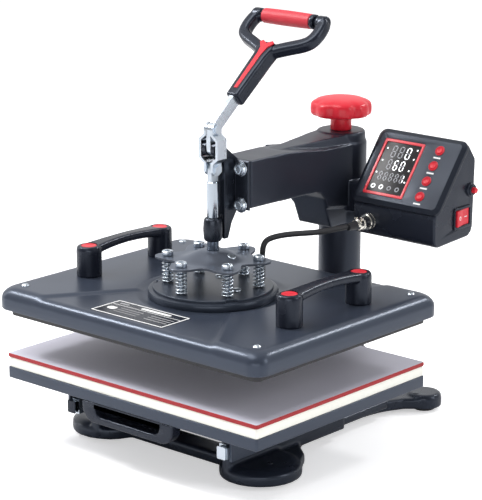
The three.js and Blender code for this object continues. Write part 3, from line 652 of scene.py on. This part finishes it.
def lever():
    place = stem_frame()
    stem = []
    for s, half, thick in [(0, 8.0, 8.6), (1.2, 8.8, 9.2), (30, 9.4, 9.4), (60, 10.2, 9.2), (74, 12.0, 8.6),
                           (82, 9.0, 7.6)]:
        stem.append([Vector((u, s, v)) for u, v in rounded_box(2 * half, 2 * thick, 3.2, steps=4)])
    parts = [skin("stem", stem, place)]
    for side in (-1, 1):
        track = [(0, 68), (10, 75), (26, 82.5), (41, 89), (49, 95.5), (52, 105), (51.8, 116), (49.5, 124.5)]
        path = smooth_path([(side * x, s, 0) for x, s in track], 6)
        parts.append(swept("arm", path, rounded_box(13.4, 14.4, 4.2, steps=4), place=place))
        post = at(side * 47.5, 125.5, 0) @ spun(90, "Y")
        boss = [(0, -7), (7.4, -7), (8.2, -5), (8.2, 4), (7.0, 6), (0, 6)]
        parts.append(turned("boss", boss, 32, place @ post))
    core = at(0, 125.5, 0) @ spun(90, "Y")
    parts.append(turned("core", [(0, -48), (5.8, -48), (5.8, 48), (0, 48)], 32, place @ core))
    finish(cast("handle_body", parts, 0.9, 5), "lever", BLACK_PLASTIC, stands_for=["handle_frame"])
    grip(place)
    inlay(place)


def grip(place):
    """Soft sleeve with fine ribs, and a black ring at its right end."""
    turn = place @ at(-3.5, 125.5, 0) @ spun(90, "Y")
    rings = [(6.2, -35), (7.6, -35.4), (8.6, -34.6)]
    rings += [(8.7 + 0.35 * sin(pi * k / 24), -33 + 66 * k / 24) for k in range(25)]
    rings += [(8.6, 34.6), (7.6, 35.4), (6.2, 35)]
    lathe("grip_sleeve", "lever", RED_GRIP, rings, 96, turn, closed=True, stands_for=["handle_grip"])
    ring = [(6.1, 35.6), (8.2, 35.6), (8.6, 36.4), (8.6, 40), (8.0, 41), (6.1, 41)]
    lathe("grip_ring", "lever", BLACK_PLASTIC, ring, 64, turn, closed=True, edge=0.3)


def inlay(place):
    """Red insert let into the upper face of the stem, forked at the top."""
    outline = [(-2.6, 10), (2.6, 10), (3.2, 40), (3.4, 62), (5.0, 72), (10.5, 79.5), (7.0, 82.5), (0, 78.5),
               (-7.0, 82.5), (-10.5, 79.5), (-5.0, 72), (-3.4, 62), (-3.2, 40)]
    for name, start, end in (("stem_inlay_front", -9.9, -8.0), ("stem_inlay_back", 8.0, 9.9)):
        strip = prism(name, outline, start, end, "z", place)
        finish(strip, "lever", RED_PLASTIC, edge=0.4)


def plunger():
    shaft = low("plunger_shaft").z
    eye = PIVOT_Z + 22.5 - 45.5
    r = 6.7
    profile = [(0, shaft), (r - 0.6, shaft), (r, shaft + 0.8), (r, 306.5), (r - 1.4, 308), (0, 308)]
    lathe("plunger_rod", "plunger", CHROME, profile, 96, ON_AXIS, stands_for=["plunger_shaft"])
    tongue = [(AXIS_Y - 5.8, 304), (AXIS_Y + 5.8, 304)] + arc((AXIS_Y, eye), 5.8, 0, 180, 16)
    eye_piece = prism("plunger_eye", tongue, -3, 3, "x")
    finish(eye_piece, "plunger", ZINC, edge=0.5)


def spider():
    """Sheet with six lobes, pressed up into a dome round the plunger."""
    bottom, top = low("spider_plate").z, low("spider_plate").z + 2.8
    crown = high("spider_plate").z
    sides = 240

    def rise(r):
        t = min(1, max(0, (r - 9) / (40 - 9)))
        return (crown - top) * (0.5 + 0.5 * cos(pi * t))

    def ring(share, under):
        reach = []
        for i in range(sides):
            a = 2 * pi * i / sides
            rim = 56 + 11 * cos(6 * (a - radians(30)))
            r = 7.1 + (rim - 7.1) * share
            z = (bottom if under else top) + rise(r) * (0.93 if under else 1)
            if share == 1:
                z += 0.4 if under else -0.4
            elif share > 0.985:
                r += 0.25
            reach.append(polar(r, a, z, y=AXIS_Y))
        return reach

    shares = [0, 0.02] + [0.06 + 0.055 * k for k in range(17)] + [0.99]
    rings = [ring(s, False) for s in shares] + [ring(1, False), ring(1, True)]
    rings += [ring(s, True) for s in reversed(shares)]
    sheet = skin("spider_sheet", rings, closed=True)
    finish(sheet, "plunger", SPIDER_STEEL, slot="black_steel", stands_for=["spider_plate"])
    spot = Vector((24, 2))
    lean = at(spot.x, spot.y, top + rise(spot.length) - 0.6) @ Matrix.Rotation(0.42, 4, "Y")
    lathe("spider_rivet", "plunger", ZINC, [(0, 0), (4.9, 0), (4.9, 0.9), (4.3, 1.4), (0, 1.6)], 40, lean,
          edge=0.2)


# ---- upper platen
def housing_height(x, y):
    """Top of the housing: raised sides, a lower band front to back, and a dish round the disc."""
    top, valley, dish = HOUSING_HIGH.z, HOUSING_HIGH.z - 2.5, HOUSING_HIGH.z - 4.0
    half = 66 + 68 * min(1, max(0, (abs(y - HEAD.y) - 50) / 104))
    z = valley + (top - valley) * smoothstep(abs(x), half - 5, half + 5)
    return dish + (z - dish) * smoothstep(hypot(x, y - AXIS_Y), 77, 89)


def raised(x, y):
    """0 in the band from front to back, 1 on the raised sides."""
    return min(1, max(0, (housing_height(x, y) - (HOUSING_HIGH.z - 2.5)) / 2.5))


def housing():
    width, depth = HOUSING_HIGH.x - HOUSING_LOW.x, HOUSING_HIGH.y - HOUSING_LOW.y
    per_side, per_corner = 100, 14

    def ring(inset):
        """Evenly spread points on the outline, moved inwards."""
        corner = max(17 - inset * 0.55, 5)
        u, v = width / 2 - inset, depth / 2 - inset
        outline = []
        for k, (su, sv) in enumerate(CORNERS):
            bend = arc((su * (u - corner), sv * (v - corner)), corner, 90 * k, 90 * k + 90, per_corner)
            start = Vector(bend[-1])
            after = CORNERS[(k + 1) % 4]
            middle = (after[0] * (u - corner), after[1] * (v - corner))
            goal = arc(middle, corner, 90 * k + 90, 91 * k + 91, 1)[0]
            step = (Vector(goal) - start) / per_side
            outline += bend + [tuple(start + step * i) for i in range(1, per_side)]
        return outline

    outer = ring(0)
    rings = [[Vector((x, y + HEAD.y, HOUSING_LOW.z + rise)) for x, y in ring(inset)]
             for inset, rise in ((2.2, 0), (0.8, 0.3), (0, 1.4), (0, 8))]
    for k in range(9):
        angle = pi / 2 * k / 8
        level = []
        for i, (x, y) in enumerate(outer):
            radius = 10.5 + 3.0 * raised(x * 0.97, (y * 0.97) + HEAD.y)
            inset = radius * (1 - cos(angle))
            px, py = x * (1 - inset / (width / 2)), y * (1 - inset / (depth / 2))
            z = housing_height(px, py + HEAD.y) - radius * (1 - sin(angle))
            level.append(Vector((px, py + HEAD.y, z)))
        rings.append(level)
    last = rings[-1]
    for k in range(1, 47):
        share = (k / 46) ** 0.9
        level = []
        for p in last:
            goal = polar(70, atan2(p.y - AXIS_Y, p.x), 0, y=AXIS_Y)
            x, y = p.x + (goal.x - p.x) * share, p.y + (goal.y - p.y) * share
            level.append(Vector((x, y, housing_height(x, y))))
        rings.append(level)
    shell = finish(skin("housing_shell", rings), "platen", SLATE, stands_for=["platen_housing"])
    shell.data.shade_smooth()


def housing_fittings():
    """Corner screws and a plain plate with ruled lines."""
    places = [(sx * 175.5, HEAD.y + sy * 131.5) for sx in (-1, 1) for sy in (-1, 1)]
    for k, (x, y) in enumerate(places):
        z = housing_height(x, y) - 0.2
        head = [(0, z), (4.6, z), (4.5, z + 0.8), (3.4, z + 1.9), (1.6, z + 2.5), (0, z + 2.6)]
        lathe(f"corner_screw_{k + 1}", "platen", ZINC, head, 40, at(x, y, 0), edge=0.15)
    z = housing_height(0, -118)
    label = (-4, -117)  # the plate's centre
    card = plate("label_plate", [rounded_box(109, 47, 1.5, label)], z - 0.05, z + 0.35, 0.1)
    finish(card, "platen", BLACK_PLASTIC)
    border = plate("label_border", [rounded_box(107.5, 45.5, 1.2, label), rounded_box(104, 42, 0.8, label)],
                   z + 0.3, z + 0.5, 0.03)
    finish(border, "platen", PRINT, slot="black_plastic")
    bars = [(-4, -107.5, 102, 0.8, PRINT), (6, -101.8, 44, 5.0, PRINT), (-42, -101.8, 14, 4.0, DIM_PRINT)]
    bars += [(x, y, 34, 1.6, DIM_PRINT) for x in (-18, 28) for y in (-115, -121, -127)]
    bars.append((-44, -120, 12, 9, PRINT))
    for k, (x, y, length, thick, ink) in enumerate(bars):
        shape = rounded_box(length, thick, thick * 0.4, (x, y))
        bar = plate(f"label_rule_{k + 1}", [shape], z + 0.3, z + 0.5, 0.03)
        finish(bar, "platen", ink, slot="black_plastic")


def heater():
    a, b = box("heater_plate")
    slab = plate("heater_block", [footprint("heater_plate", 8)], a.z, b.z, 1.2)
    finish(slab, "platen", ALUMINIUM, stands_for=["heater_plate"])


def disc():
    """Ring that clamps the spring disc, and the notched disc itself."""
    bottom, top = low("mounting_disc").z, high("mounting_disc").z
    place = ON_AXIS
    step = 185.0
    profile = [(0, bottom), (73.4, bottom), (74, bottom + 1), (74, step - 2.4), (73.2, step - 0.6),
               (71.4, step), (0, step)]
    lathe("disc_ring", "platen", DISC_STEEL, profile, 160, place, slot="black_steel")
    rim = []
    for k in range(3):
        start = 90 + 120 * k
        rim += arc((0, 0), 68.5, start + 6.5, start + 113.5, 48)
        rim += arc((0, 0), 64.5, start + 115.5, start + 124.5, 6)
    inner = prism("spring_disc", rim, step - 0.1, top, "z", place)
    finish(inner, "platen", DISC_STEEL, slot="black_steel", stands_for=["mounting_disc"], edge=0.7)
    for k, angle in enumerate((0, 120, 240)):
        spot = Matrix.Translation(polar(36, radians(angle), 0, y=AXIS_Y))
        screw = [(0, top - 0.2), (5.2, top - 0.2), (5.0, top + 1.2), (3.6, top + 2.2), (0, top + 2.4)]
        lathe(f"disc_screw_{k + 1}", "platen", ZINC, screw, 32, spot, edge=0.2)


def springs():
    bottom, top = high("mounting_disc").z, low("spider_plate").z
    head = top + 3.1
    for i, bolt in enumerate(BOLTS, 1):
        place = at(bolt.x, bolt.y, 0)
        shank = [(0, bottom + 0.2), (2.9, bottom + 0.2), (2.9, head), (0, head)]
        lathe(f"bolt_shank_{i}", "platen", ZINC, shank, 32, place, edge=0.2)
        cap_top = high(f"spring_bolt_{i}").z
        profile = [(0, head), (6.4, head), (6.5, head + 0.4), (6.5, cap_top - 0.9), (5.7, cap_top),
                   (0, cap_top)]
        cap = turned(f"bolt_cap_{i}", profile, 48, place)
        socket = prism("socket", circle(3.1, 6), cap_top - 3, cap_top + 1, "z", place)
        finish(cut(cap, socket), "platen", ZINC, stands_for=[f"spring_bolt_{i}"], edge=0.2)
        coil(i, bolt, bottom + 0.3, top - 0.3)


def coil(i, bolt, bottom, top):
    """A round-wire spring with closed ends."""
    wire, radius, turns, per_turn = 1.15, 5.7, 7.5, 28
    low_z, high_z = bottom + wire, top - wire
    path = []
    count = int(turns * per_turn)
    for k in range(count + 1):
        t = k / count
        a = 2 * pi * turns * t
        ease = min(1, max(0, (t * turns - 1) / (turns - 2)))
        z = low_z + 2 * wire * min(1, t * turns) * 0.5
        z += (high_z - low_z - 2 * wire) * ease + 2 * wire * 0.5 * max(0, t * turns - turns + 1)
        path.append(polar(radius, a, z, bolt.x, bolt.y))
    spring = swept(f"coil_{i}", path, circle(wire, 10))
    finish(spring, "platen", ZINC, stands_for=[f"spring_{i}"])
    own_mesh(spring)


def side_handles():
    """Two round posts joined by an arched strap, with a red cap let into the top of each post."""
    steps, post_radius, top = 32, 14.7, 216.5
    for side, name in ((-1, "side_handle_left"), (1, "side_handle_right")):
        x, foot = side * 152, low(name).z
        ends = (low(name).y + post_radius, high(name).y - post_radius)
        post = [(0, foot), (post_radius, foot), (post_radius, top - 5), (14.1, top - 1.8), (12.4, top),
                (0, top)]
        parts = [turned("post", post, 64, at(x, y, 0)) for y in ends]
        path = []
        for k in range(steps + 1):
            rise = top - 5.2 + 3.4 * sin(pi * k / steps)
            path.append(Vector((x, ends[0] + (ends[1] - ends[0]) * k / steps, rise)))
        parts.append(swept("strap", path, strap_section))
        body = cast(f"{name}_moulding", parts, 0.8, 4)
        well = [(0, top - 1.6), (9.6, top - 1.6), (9.6, top + 4), (0, top + 4)]
        wells = [turned("well", well, 48, at(x, y, 0)) for y in ends]
        finish(cut(body, *wells), "platen", BLACK_PLASTIC, stands_for=[name])
        cap = [(0, top - 1.7), (8.7, top - 1.7), (9.1, top - 0.9), (8.9, top - 0.2), (8.0, top + 0.2),
               (6.6, top), (5.8, top - 0.3), (0, top - 0.2)]
        for k, y in enumerate(ends):
            lathe(f"{name}_cap_{k + 1}", "platen", RED_PLASTIC, cap, 48, at(x, y, 0))


def strap_section(share):
    """Broad where the strap leaves a post, narrower in the middle."""
    waist = sin(pi * share)
    return rounded_box(26 - 9.5 * waist ** 0.7, 10.4 - 0.8 * waist, 3.4, steps=4)


# ---- drawer
def footprint(node, corner, inset=0.0, steps=6):
    """A CAD node's rectangle seen from above, moved inwards."""
    a, b = box(node)
    centre = ((a.x + b.x) / 2, (a.y + b.y) / 2)
    return rounded_box(b.x - a.x - 2 * inset, b.y - a.y - 2 * inset, corner, centre, steps)


def soft_slab(name, node, corner, bulge, rows):
    """A rectangular pad whose sides swell a little between crisp upper and lower edges."""
    bottom, top = low(node).z, high(node).z
    rings = []
    for k in range(rows + 1):
        t = k / rows
        inset = bulge * (2 * t - 1) ** 2 + (0.5 if k in (0, rows) else 0)
        z = bottom + (top - bottom) * t
        rings.append([Vector((u, v, z)) for u, v in footprint(node, corner, inset, 5)])
    return skin(name, rings)


def drawer():
    a, b = box("lower_plate")
    steel = plate("lower_platen", [footprint("lower_plate", 3)], a.z, b.z, 1.0)
    finish(steel, "drawer", SLATE, stands_for=["lower_plate"])
    pad = soft_slab("foam_layer", "foam_pad", 2.5, 0.5, 8)
    finish(pad, "drawer", FOAM, stands_for=["foam_pad"])
    sheet = soft_slab("silicone_layer", "silicone_sheet", 2.5, 0.15, 4)
    finish(sheet, "drawer", [SHEET_EDGE, SHEET_TOP], stands_for=["silicone_sheet"])
    for face in sheet.data.polygons:
        face.material_index = 1 if face.normal.z > 0.9 else 0
    pull()


def pull():
    """Strap handle under the front edge of the platen, bent down at both ends."""
    a, b = box("pull_handle")
    half, top = b.x, b.z

    def trough(reach, rim, radius, z, steps):
        """A U with round lower corners."""
        left = arc((radius - reach, z), radius, 180, 270, steps)
        return [(-reach, rim), *left, *arc((reach - radius, z), radius, 270, 360, steps), (reach, rim)]

    outlines = [trough(half, top, 18, a.z + 18, 10), trough(half - 20, top - 1.5, 9, a.z + 17, 8)]
    front = plate("pull_moulding", outlines, a.y, a.y + 14, 1.6, "y")
    finish(front, "drawer", BLACK_PLASTIC, stands_for=["pull_handle"])
    tie = [(-60, a.y + 12), (60, a.y + 12), (60, b.y), (-60, b.y)]
    finish(prism("pull_tie", tie, top - 3, top, "z"), "drawer", BLACK_PLASTIC, edge=0.5)


def slide_ends():
    """Folded tab across the front end of each slide."""
    # the left tab gets black plastic as a painted shade for the shaded left slide end; the right tab gets zinc
    for side, ink in (("left", BLACK_PLASTIC), ("right", ZINC)):
        inner, outer = (f"slide_{part}_{side}" for part in ("inner", "outer"))
        a = Vector(min(pair) for pair in zip(low(inner), low(outer)))
        b = Vector(max(pair) for pair in zip(high(inner), high(outer)))
        front = low(inner).y
        tab = rounded_box(b.x - a.x - 2, b.z - a.z - 2.4, 1.6, ((a.x + b.x) / 2, (a.z + b.z) / 2))
        finish(plate(f"slide_tab_{side}", [tab], front - 1.7, front - 0.3, 0.35, "y"), "drawer", ink)


# ---- control box
def panel_frame():
    """Maps the panel's own axes, x across and y up the slope, to the row frame."""
    return Matrix.Translation(PANEL_CENTRE) @ Matrix.Rotation(PANEL_SLOPE, 4, "X")


def control_box():
    left, right = low("control_box_shell").x, high("control_box_shell").x - 3
    back = high("control_box_shell").y
    profile = [(190, 222.5), (184, 224), (180.4, 228.5), (180, 234), (180, 256), (181.6, 262.6), (237, 334),
               (241, 335.8), (244.5, 333.5), (back - 0.6, 317), (back, 313), (back - 2.4, 236), (back - 5, 230),
               (back - 11, 225.5)]
    shell = keep_modifiers(soften(prism("box_shell", profile, left, right, "x"), 4.5, 5))
    switch = middle("power_rocker")
    pocket = prism("pocket", rounded_box(28, 21, 1, (switch.y, switch.z)), right - 12, right + 5, "x")
    finish(cut(shell, pocket), "arm", BLACK_PLASTIC, stands_for=["control_box_shell"])
    shell.modifiers.new("shading", "WEIGHTED_NORMAL").weight = 100
    place = panel_frame()
    outline = [rounded_box(width, height, corner, steps=8)
               for width, height, corner in ((125, 96, 9), (126, 97, 9.5), (126, 97, 9.5), (115, 86, 4.5))]
    rings = [[Vector((u, v, w)) for u, v in ring] for ring, w in zip(outline, (-4.5, -3.5, 0.4, 3.3))]
    face = skin("panel_face", rings, place)
    soften(face, 0.8, 3, 10)
    keep_modifiers(face)
    holes = [prism("hole", rounded_box(58, 73, 2.2, GLASS), 0.6, 9, "z", place)]
    well = [(0, -0.8), (6.0, -0.8), (6.0, 9), (0, 9)]
    holes += [turned("hole", well, 40, place @ at(BUTTON_X, y, 0)) for y in BUTTON_HEIGHTS]
    finish(cut(face, *holes), "arm", PANEL_PLASTIC, slot="black_plastic", stands_for=["control_panel"])
    face.modifiers.new("shading", "WEIGHTED_NORMAL").weight = 100
    display(place)
    buttons(place)


SEGMENTS = {
    "a": ((-0.5, 1), (0.5, 1)), "b": ((0.5, 1), (0.5, 0)), "c": ((0.5, 0), (0.5, -1)),
    "d": ((-0.5, -1), (0.5, -1)), "e": ((-0.5, 0), (-0.5, -1)), "f": ((-0.5, 1), (-0.5, 0)),
    "g": ((-0.5, 0), (0.5, 0)),
}
DIGITS = {"0": "abcdef", "6": "acdefg", "1": "bc", "8": "abcdefg"}


def segment(start, end, thick):
    """Outline of one bar of a seven-segment digit, with pointed ends."""
    a, b = Vector(start), Vector(end)
    way = (b - a).normalized()
    side = Vector((-way.y, way.x)) * thick / 2
    a, b = a + way * thick * 0.35, b - way * thick * 0.35
    tip = way * thick / 2
    return [tuple(p) for p in (a, a + tip + side, b - tip + side, b, b - tip - side, a + tip - side)]


def digit(centre, width, height, lit, place):
    """Seven bars. Those of the shown number are lit, and the others are grey."""
    bars = {True: [], False: []}
    for key, (start, end) in SEGMENTS.items():
        p = [(centre[0] + u * width, centre[1] + v * height / 2) for u, v in (start, end)]
        bars[key in lit].append(prism("bar", segment(p[0], p[1], 1.35), 2.75, 2.9, "z", place))
    return bars


def display(place):
    """Dark window with a red frame, three rows of digits and four plain marks."""
    glass = plate("display_glass", [rounded_box(57.6, 72.6, 2, GLASS)], 0.9, 2.8, 0.2, "z", place)
    finish(glass, "arm", SCREEN, stands_for=["display_window"])
    rim = [rounded_box(57.2, 72.2, 1.8, GLASS), rounded_box(50.4, 65.4, 0.8, GLASS)]
    finish(plate("display_frame", rim, 2.7, 3.6, 0.2, "z", place), "arm", RED_PLASTIC)
    rows = [("000", (-30, 20), 8.6, 14, "001"), ("060", (-29, 3), 7.6, 12, "011"),
            ("00001", (-35, -12.5), 6.2, 10, "00001")]
    lit, unlit = [], []
    for text, (x, y), pitch, height, on in rows:
        for k, (letter, power) in enumerate(zip(text, on)):
            shape = DIGITS[letter] if power == "1" else ""
            bars = digit((x + k * (pitch + 1.6), y), pitch * 0.62, height, shape, place)
            lit += bars[True]
            unlit += bars[False]
    for k in range(4):
        centre = (-38.5 + 11.5 * k, -26.5)
        mark = plate("mark", [circle(3.0, 20, centre), circle(1.7, 20, centre)], 2.75, 2.9, 0.03, "z", place)
        (lit if k < 2 else unlit).append(mark)
    for x, y in [(-41, 23), (-41, 7), (-42, -9), (1, 26), (1, 14), (1, -1), (2, -16)]:
        lit.append(prism("dot", circle(1.1, 16, (x, y)), 2.75, 2.9, "z", place))
    finish(join("display_lit", lit), "arm", LIT, slot="display")
    finish(join("display_unlit", unlit), "arm", UNLIT, slot="display")


def buttons(place):
    for k, y in enumerate(BUTTON_HEIGHTS, 1):
        centre = at(BUTTON_X, y, 0)
        profile = [(0, 0.9), (4.3, 0.9), (4.5, 3.0), (4.3, 4.1), (3.6, 4.6), (2.6, 4.3), (1.3, 3.9), (0, 3.8)]
        lathe(f"button_cap_{k}", f"button_{k}", RED_PLASTIC, profile, 48, place @ centre,
              stands_for=[f"button_{k}"])
        ring = [(4.7, 1.0), (5.9, 1.0), (6.1, 3.3), (5.9, 4.0), (5.2, 4.2), (4.7, 3.8)]
        lathe(f"button_ring_{k}", "arm", RED_PLASTIC, ring, 48, place @ centre, closed=True)
        line = rounded_box(10, 1.9, 0.6, (BUTTON_X, y - 9.4))
        bar = plate(f"button_line_{k}", [line], 3.25, 3.4, 0.03, "z", place)
        finish(bar, "arm", PRINT, slot="black_plastic")


def switches():
    """Mains rocker in its bezel, and the reset button in its collar."""
    centre = middle("power_rocker")
    face = BOX_SIDE
    rim = [rounded_box(32, 25.5, 2, (centre.y, centre.z)), rounded_box(26.8, 19.8, 1, (centre.y, centre.z))]
    bezel = plate("rocker_bezel", rim, face - 1, face + 1.8, 0.5, "x")
    finish(bezel, "arm", BLACK_PLASTIC)
    y0, y1 = low("power_rocker").y, high("power_rocker").y
    profile = [(face - 4.8, y0), (face + 3.9, y0), (face + 4.1, y0 + 1.2), (face + 1.3, centre.y - 0.5),
               (face + 0.7, centre.y + 1.5), (face + 0.6, y1), (face - 4.8, y1)]
    rocker = prism("rocker_paddle", profile, low("power_rocker").z, high("power_rocker").z)
    finish(rocker, "rocker", RED_PLASTIC, stands_for=["power_rocker"], edge=0.6)
    tilt = atan2(2.8, centre.y - y0 - 1.7)
    mark = at(face + 2.75, (y0 + centre.y) / 2, centre.z) @ Matrix.Rotation(tilt, 4, "Z")
    ring = plate("rocker_off_mark", [circle(2.4, 24), circle(1.6, 24)], 0.0, 0.3, 0.03, "x", mark)
    finish(ring, "rocker", PRINT, slot="red_plastic")
    line = [(centre.y + 4, centre.z - 0.45), (centre.y + 9, centre.z - 0.45), (centre.y + 9, centre.z + 0.45),
            (centre.y + 4, centre.z + 0.45)]
    finish(prism("rocker_on_mark", line, face + 0.5, face + 0.85, "x"), "rocker", PRINT, slot="red_plastic")
    reset = middle("reset_button")
    turn = at(face, reset.y, reset.z) @ spun(90, "Y")
    collar = [(3.9, -1), (8.2, -1), (8.2, 1.2), (7.6, 2.2), (6.8, 2.4), (6.2, 4.4), (5.0, 4.8), (3.9, 4.6)]
    lathe("reset_collar", "arm", BLACK_PLASTIC, collar, 48, turn, closed=True, edge=0.3)
    pin = [(0, -5), (3.5, -5), (3.5, 7.2), (2.9, 8.6), (0, 9.0)]
    lathe("reset_pin", "reset", RED_PLASTIC, pin, 40, turn, stands_for=["reset_button"])


def lead():
    """Screwed plug, strain relief and the black lead to the heater."""
    plug = middle("cable_connector")
    start, end = high("cable_connector").y, low("cable_connector").y
    turn = at(plug.x, start, plug.z) @ spun(90, "X")
    rings = [[Vector((0, 0, 0.0))]]
    levels = [(0.0, 9.2, 0), (1.2, 9.5, 0), (1.8, 9.2, 0.5), (6.4, 9.2, 0.5), (7.0, 9.5, 0), (8.0, 8.8, 0)]
    sides = 144
    for z, r, teeth in levels:
        ring = []
        for k in range(sides):
            a = 2 * pi * k / sides
            reach = r + teeth * (0.5 - (k % 4) / 3)
            ring.append(polar(reach, a, z))
        rings.append(ring)
    rings.append([Vector((0, 0, 8.0))])
    finish(skin("plug_nut", rings, turn), "arm", NICKEL, stands_for=["cable_connector"])
    waist = [(0, 7.5), (6.2, 7.5), (6.2, 14.5), (0, 14.5)]
    lathe("plug_waist", "arm", BLACK_PLASTIC, waist, 40, turn, edge=0.4)
    tail = [(0, 14), (7.4, 14), (7.4, 16.2), (6.6, 17), (6.6, 21.5), (7.2, 22), (7.2, 24), (5.6, 26.5),
            (0, 26.5)]
    lathe("plug_tail", "arm", NICKEL, tail, 40, turn, edge=0.4)
    for k, x in enumerate((-1, 1)):
        place = turn @ at(x * 4.6, 5.2, 19) @ spun(-90, "X")
        screw = [(0, 0), (2.0, 0), (2.0, 2.4), (0, 2.6)]
        lathe(f"plug_screw_{k + 1}", "arm", NICKEL, screw, 20, place, edge=0.2)
    relief = [(0, 26), (5.4, 26), (4.6, 34), (3.9, 40), (0, 40)]
    lathe("strain_relief", "arm", RUBBER, relief, 32, turn, edge=0.4)
    x, z = plug.x, plug.z
    bend, hanging = (64, 108, 239), (36, 41, 205)
    path = smooth_path([(x, end + 2, z), (x - 3, 138, z), bend, (48, 70, 240.5), (40, 50, 238.5),
                        (37, 43, 233), (36, 41, 222), hanging, (36, 41, 192)], 8)
    cable = swept("heater_lead", path, circle(3.3, 20))
    cable.data.materials.append(RUBBER)
    cable.data.shade_smooth()
    start, end = ((ORIGIN + Vector(p)) * MM for p in (bend, hanging))
    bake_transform(cable)
    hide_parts("heater_cable")


# ---- stage
def stage():
    reach, level = 9000, -0.4
    corners = [(-reach, -reach, level), (reach, -reach, level), (reach, reach, level), (-reach, reach, level)]
    floor = solid("floor", corners, [(0, 1, 2, 3)])
    paint = surface("floor_paint", (0.90, 0.90, 0.91), 0.9, grain=2.0, bump=0.0, mottle=0.005, specular=0.0)
    shader = paint.node_tree.nodes["Principled BSDF"]
    rays = node_maker(paint)("ShaderNodeLightPath").outputs["Is Camera Ray"]
    paint.node_tree.links.new(rays, shader.inputs["Emission Strength"])
    shader.inputs["Emission Color"].default_value = (0.50, 0.50, 0.505, 1)
    floor.data.materials.append(paint)


def lamp(name, place, target, size, power):
    data = bpy.data.lights.new(name, "AREA")
    data.shape = "RECTANGLE"
    data.size, data.size_y = size
    data.energy = power
    lamp_obj = linked(name, data)
    lamp_obj.location = Vector(place) + ORIGIN * MM
    lamp_obj.rotation_euler = (Vector(target) - Vector(place)).to_track_quat("-Z", "Y").to_euler()


def lights():
    world = bpy.data.worlds.new("studio")
    SCENE.world = world
    world.use_nodes = True
    add, link = node_maker(world), world.node_tree.links.new
    toward = add("ShaderNodeVectorMath", operation="DOT_PRODUCT")
    toward.inputs[1].default_value = (sin(VIEW_AZIMUTH), -cos(VIEW_AZIMUTH), 0)
    link(add("ShaderNodeTexCoord").outputs["Generated"], toward.inputs[0])
    studio = remap(add, toward.outputs["Value"], -1, 1, 0.95, 0.14)
    # the camera itself sees plain white
    rays = add("ShaderNodeLightPath").outputs["Is Camera Ray"]
    pick = add("ShaderNodeMix", [("Factor", rays), ("A", studio)], B=1.0)
    link(pick.outputs["Result"], world.node_tree.nodes["Background"].inputs["Color"])
    lamp("key", (-0.5, -0.6, 2.3), (0, 0.05, 0.2), (1.6, 1.2), 30)
    lamp("right", (2.3, 0.8, 1.2), (0, 0.1, 0.2), (0.7, 1.6), 16)
    lamp("left", (-2.3, -0.7, 1.2), (0, 0.1, 0.2), (0.7, 1.6), 8)
    # two small lamps whose reflections run along the rounded edges, and one low in front
    lamp("front_edge", (-1.35, -0.6, 1.6), (0, -0.1, 0.15), (0.35, 0.35), 20)
    lamp("side_edge", (0.65, 1.8, 1.65), (0.1, 0.1, 0.15), (0.35, 0.35), 13)
    lamp("low", (1.1, -1.5, 0.42), (0, 0, 0.1), (1.6, 0.3), 7)


def camera():
    data = bpy.data.cameras.new("camera")
    data.lens, data.sensor_width = LENS, SENSOR
    view = linked("camera", data)
    level = cos(VIEW_ELEVATION)
    back = Vector((sin(VIEW_AZIMUTH) * level, -cos(VIEW_AZIMUTH) * level, sin(VIEW_ELEVATION)))
    view.location = CAMERA_PLACE + ORIGIN * MM
    view.rotation_mode = "QUATERNION"
    view.rotation_quaternion = (-back).to_track_quat("-Z", "Y")
    SCENE.camera = view
    SCENE.view_settings.view_transform = "Standard"


for build in (kept_nodes, base_casting, base_screws, column, knob, arm, bracket, lever, plunger,
              spider, housing, housing_fittings, heater, disc, springs, side_handles, drawer,
              slide_ends, control_box, switches, lead, stage, lights, camera):
    build()
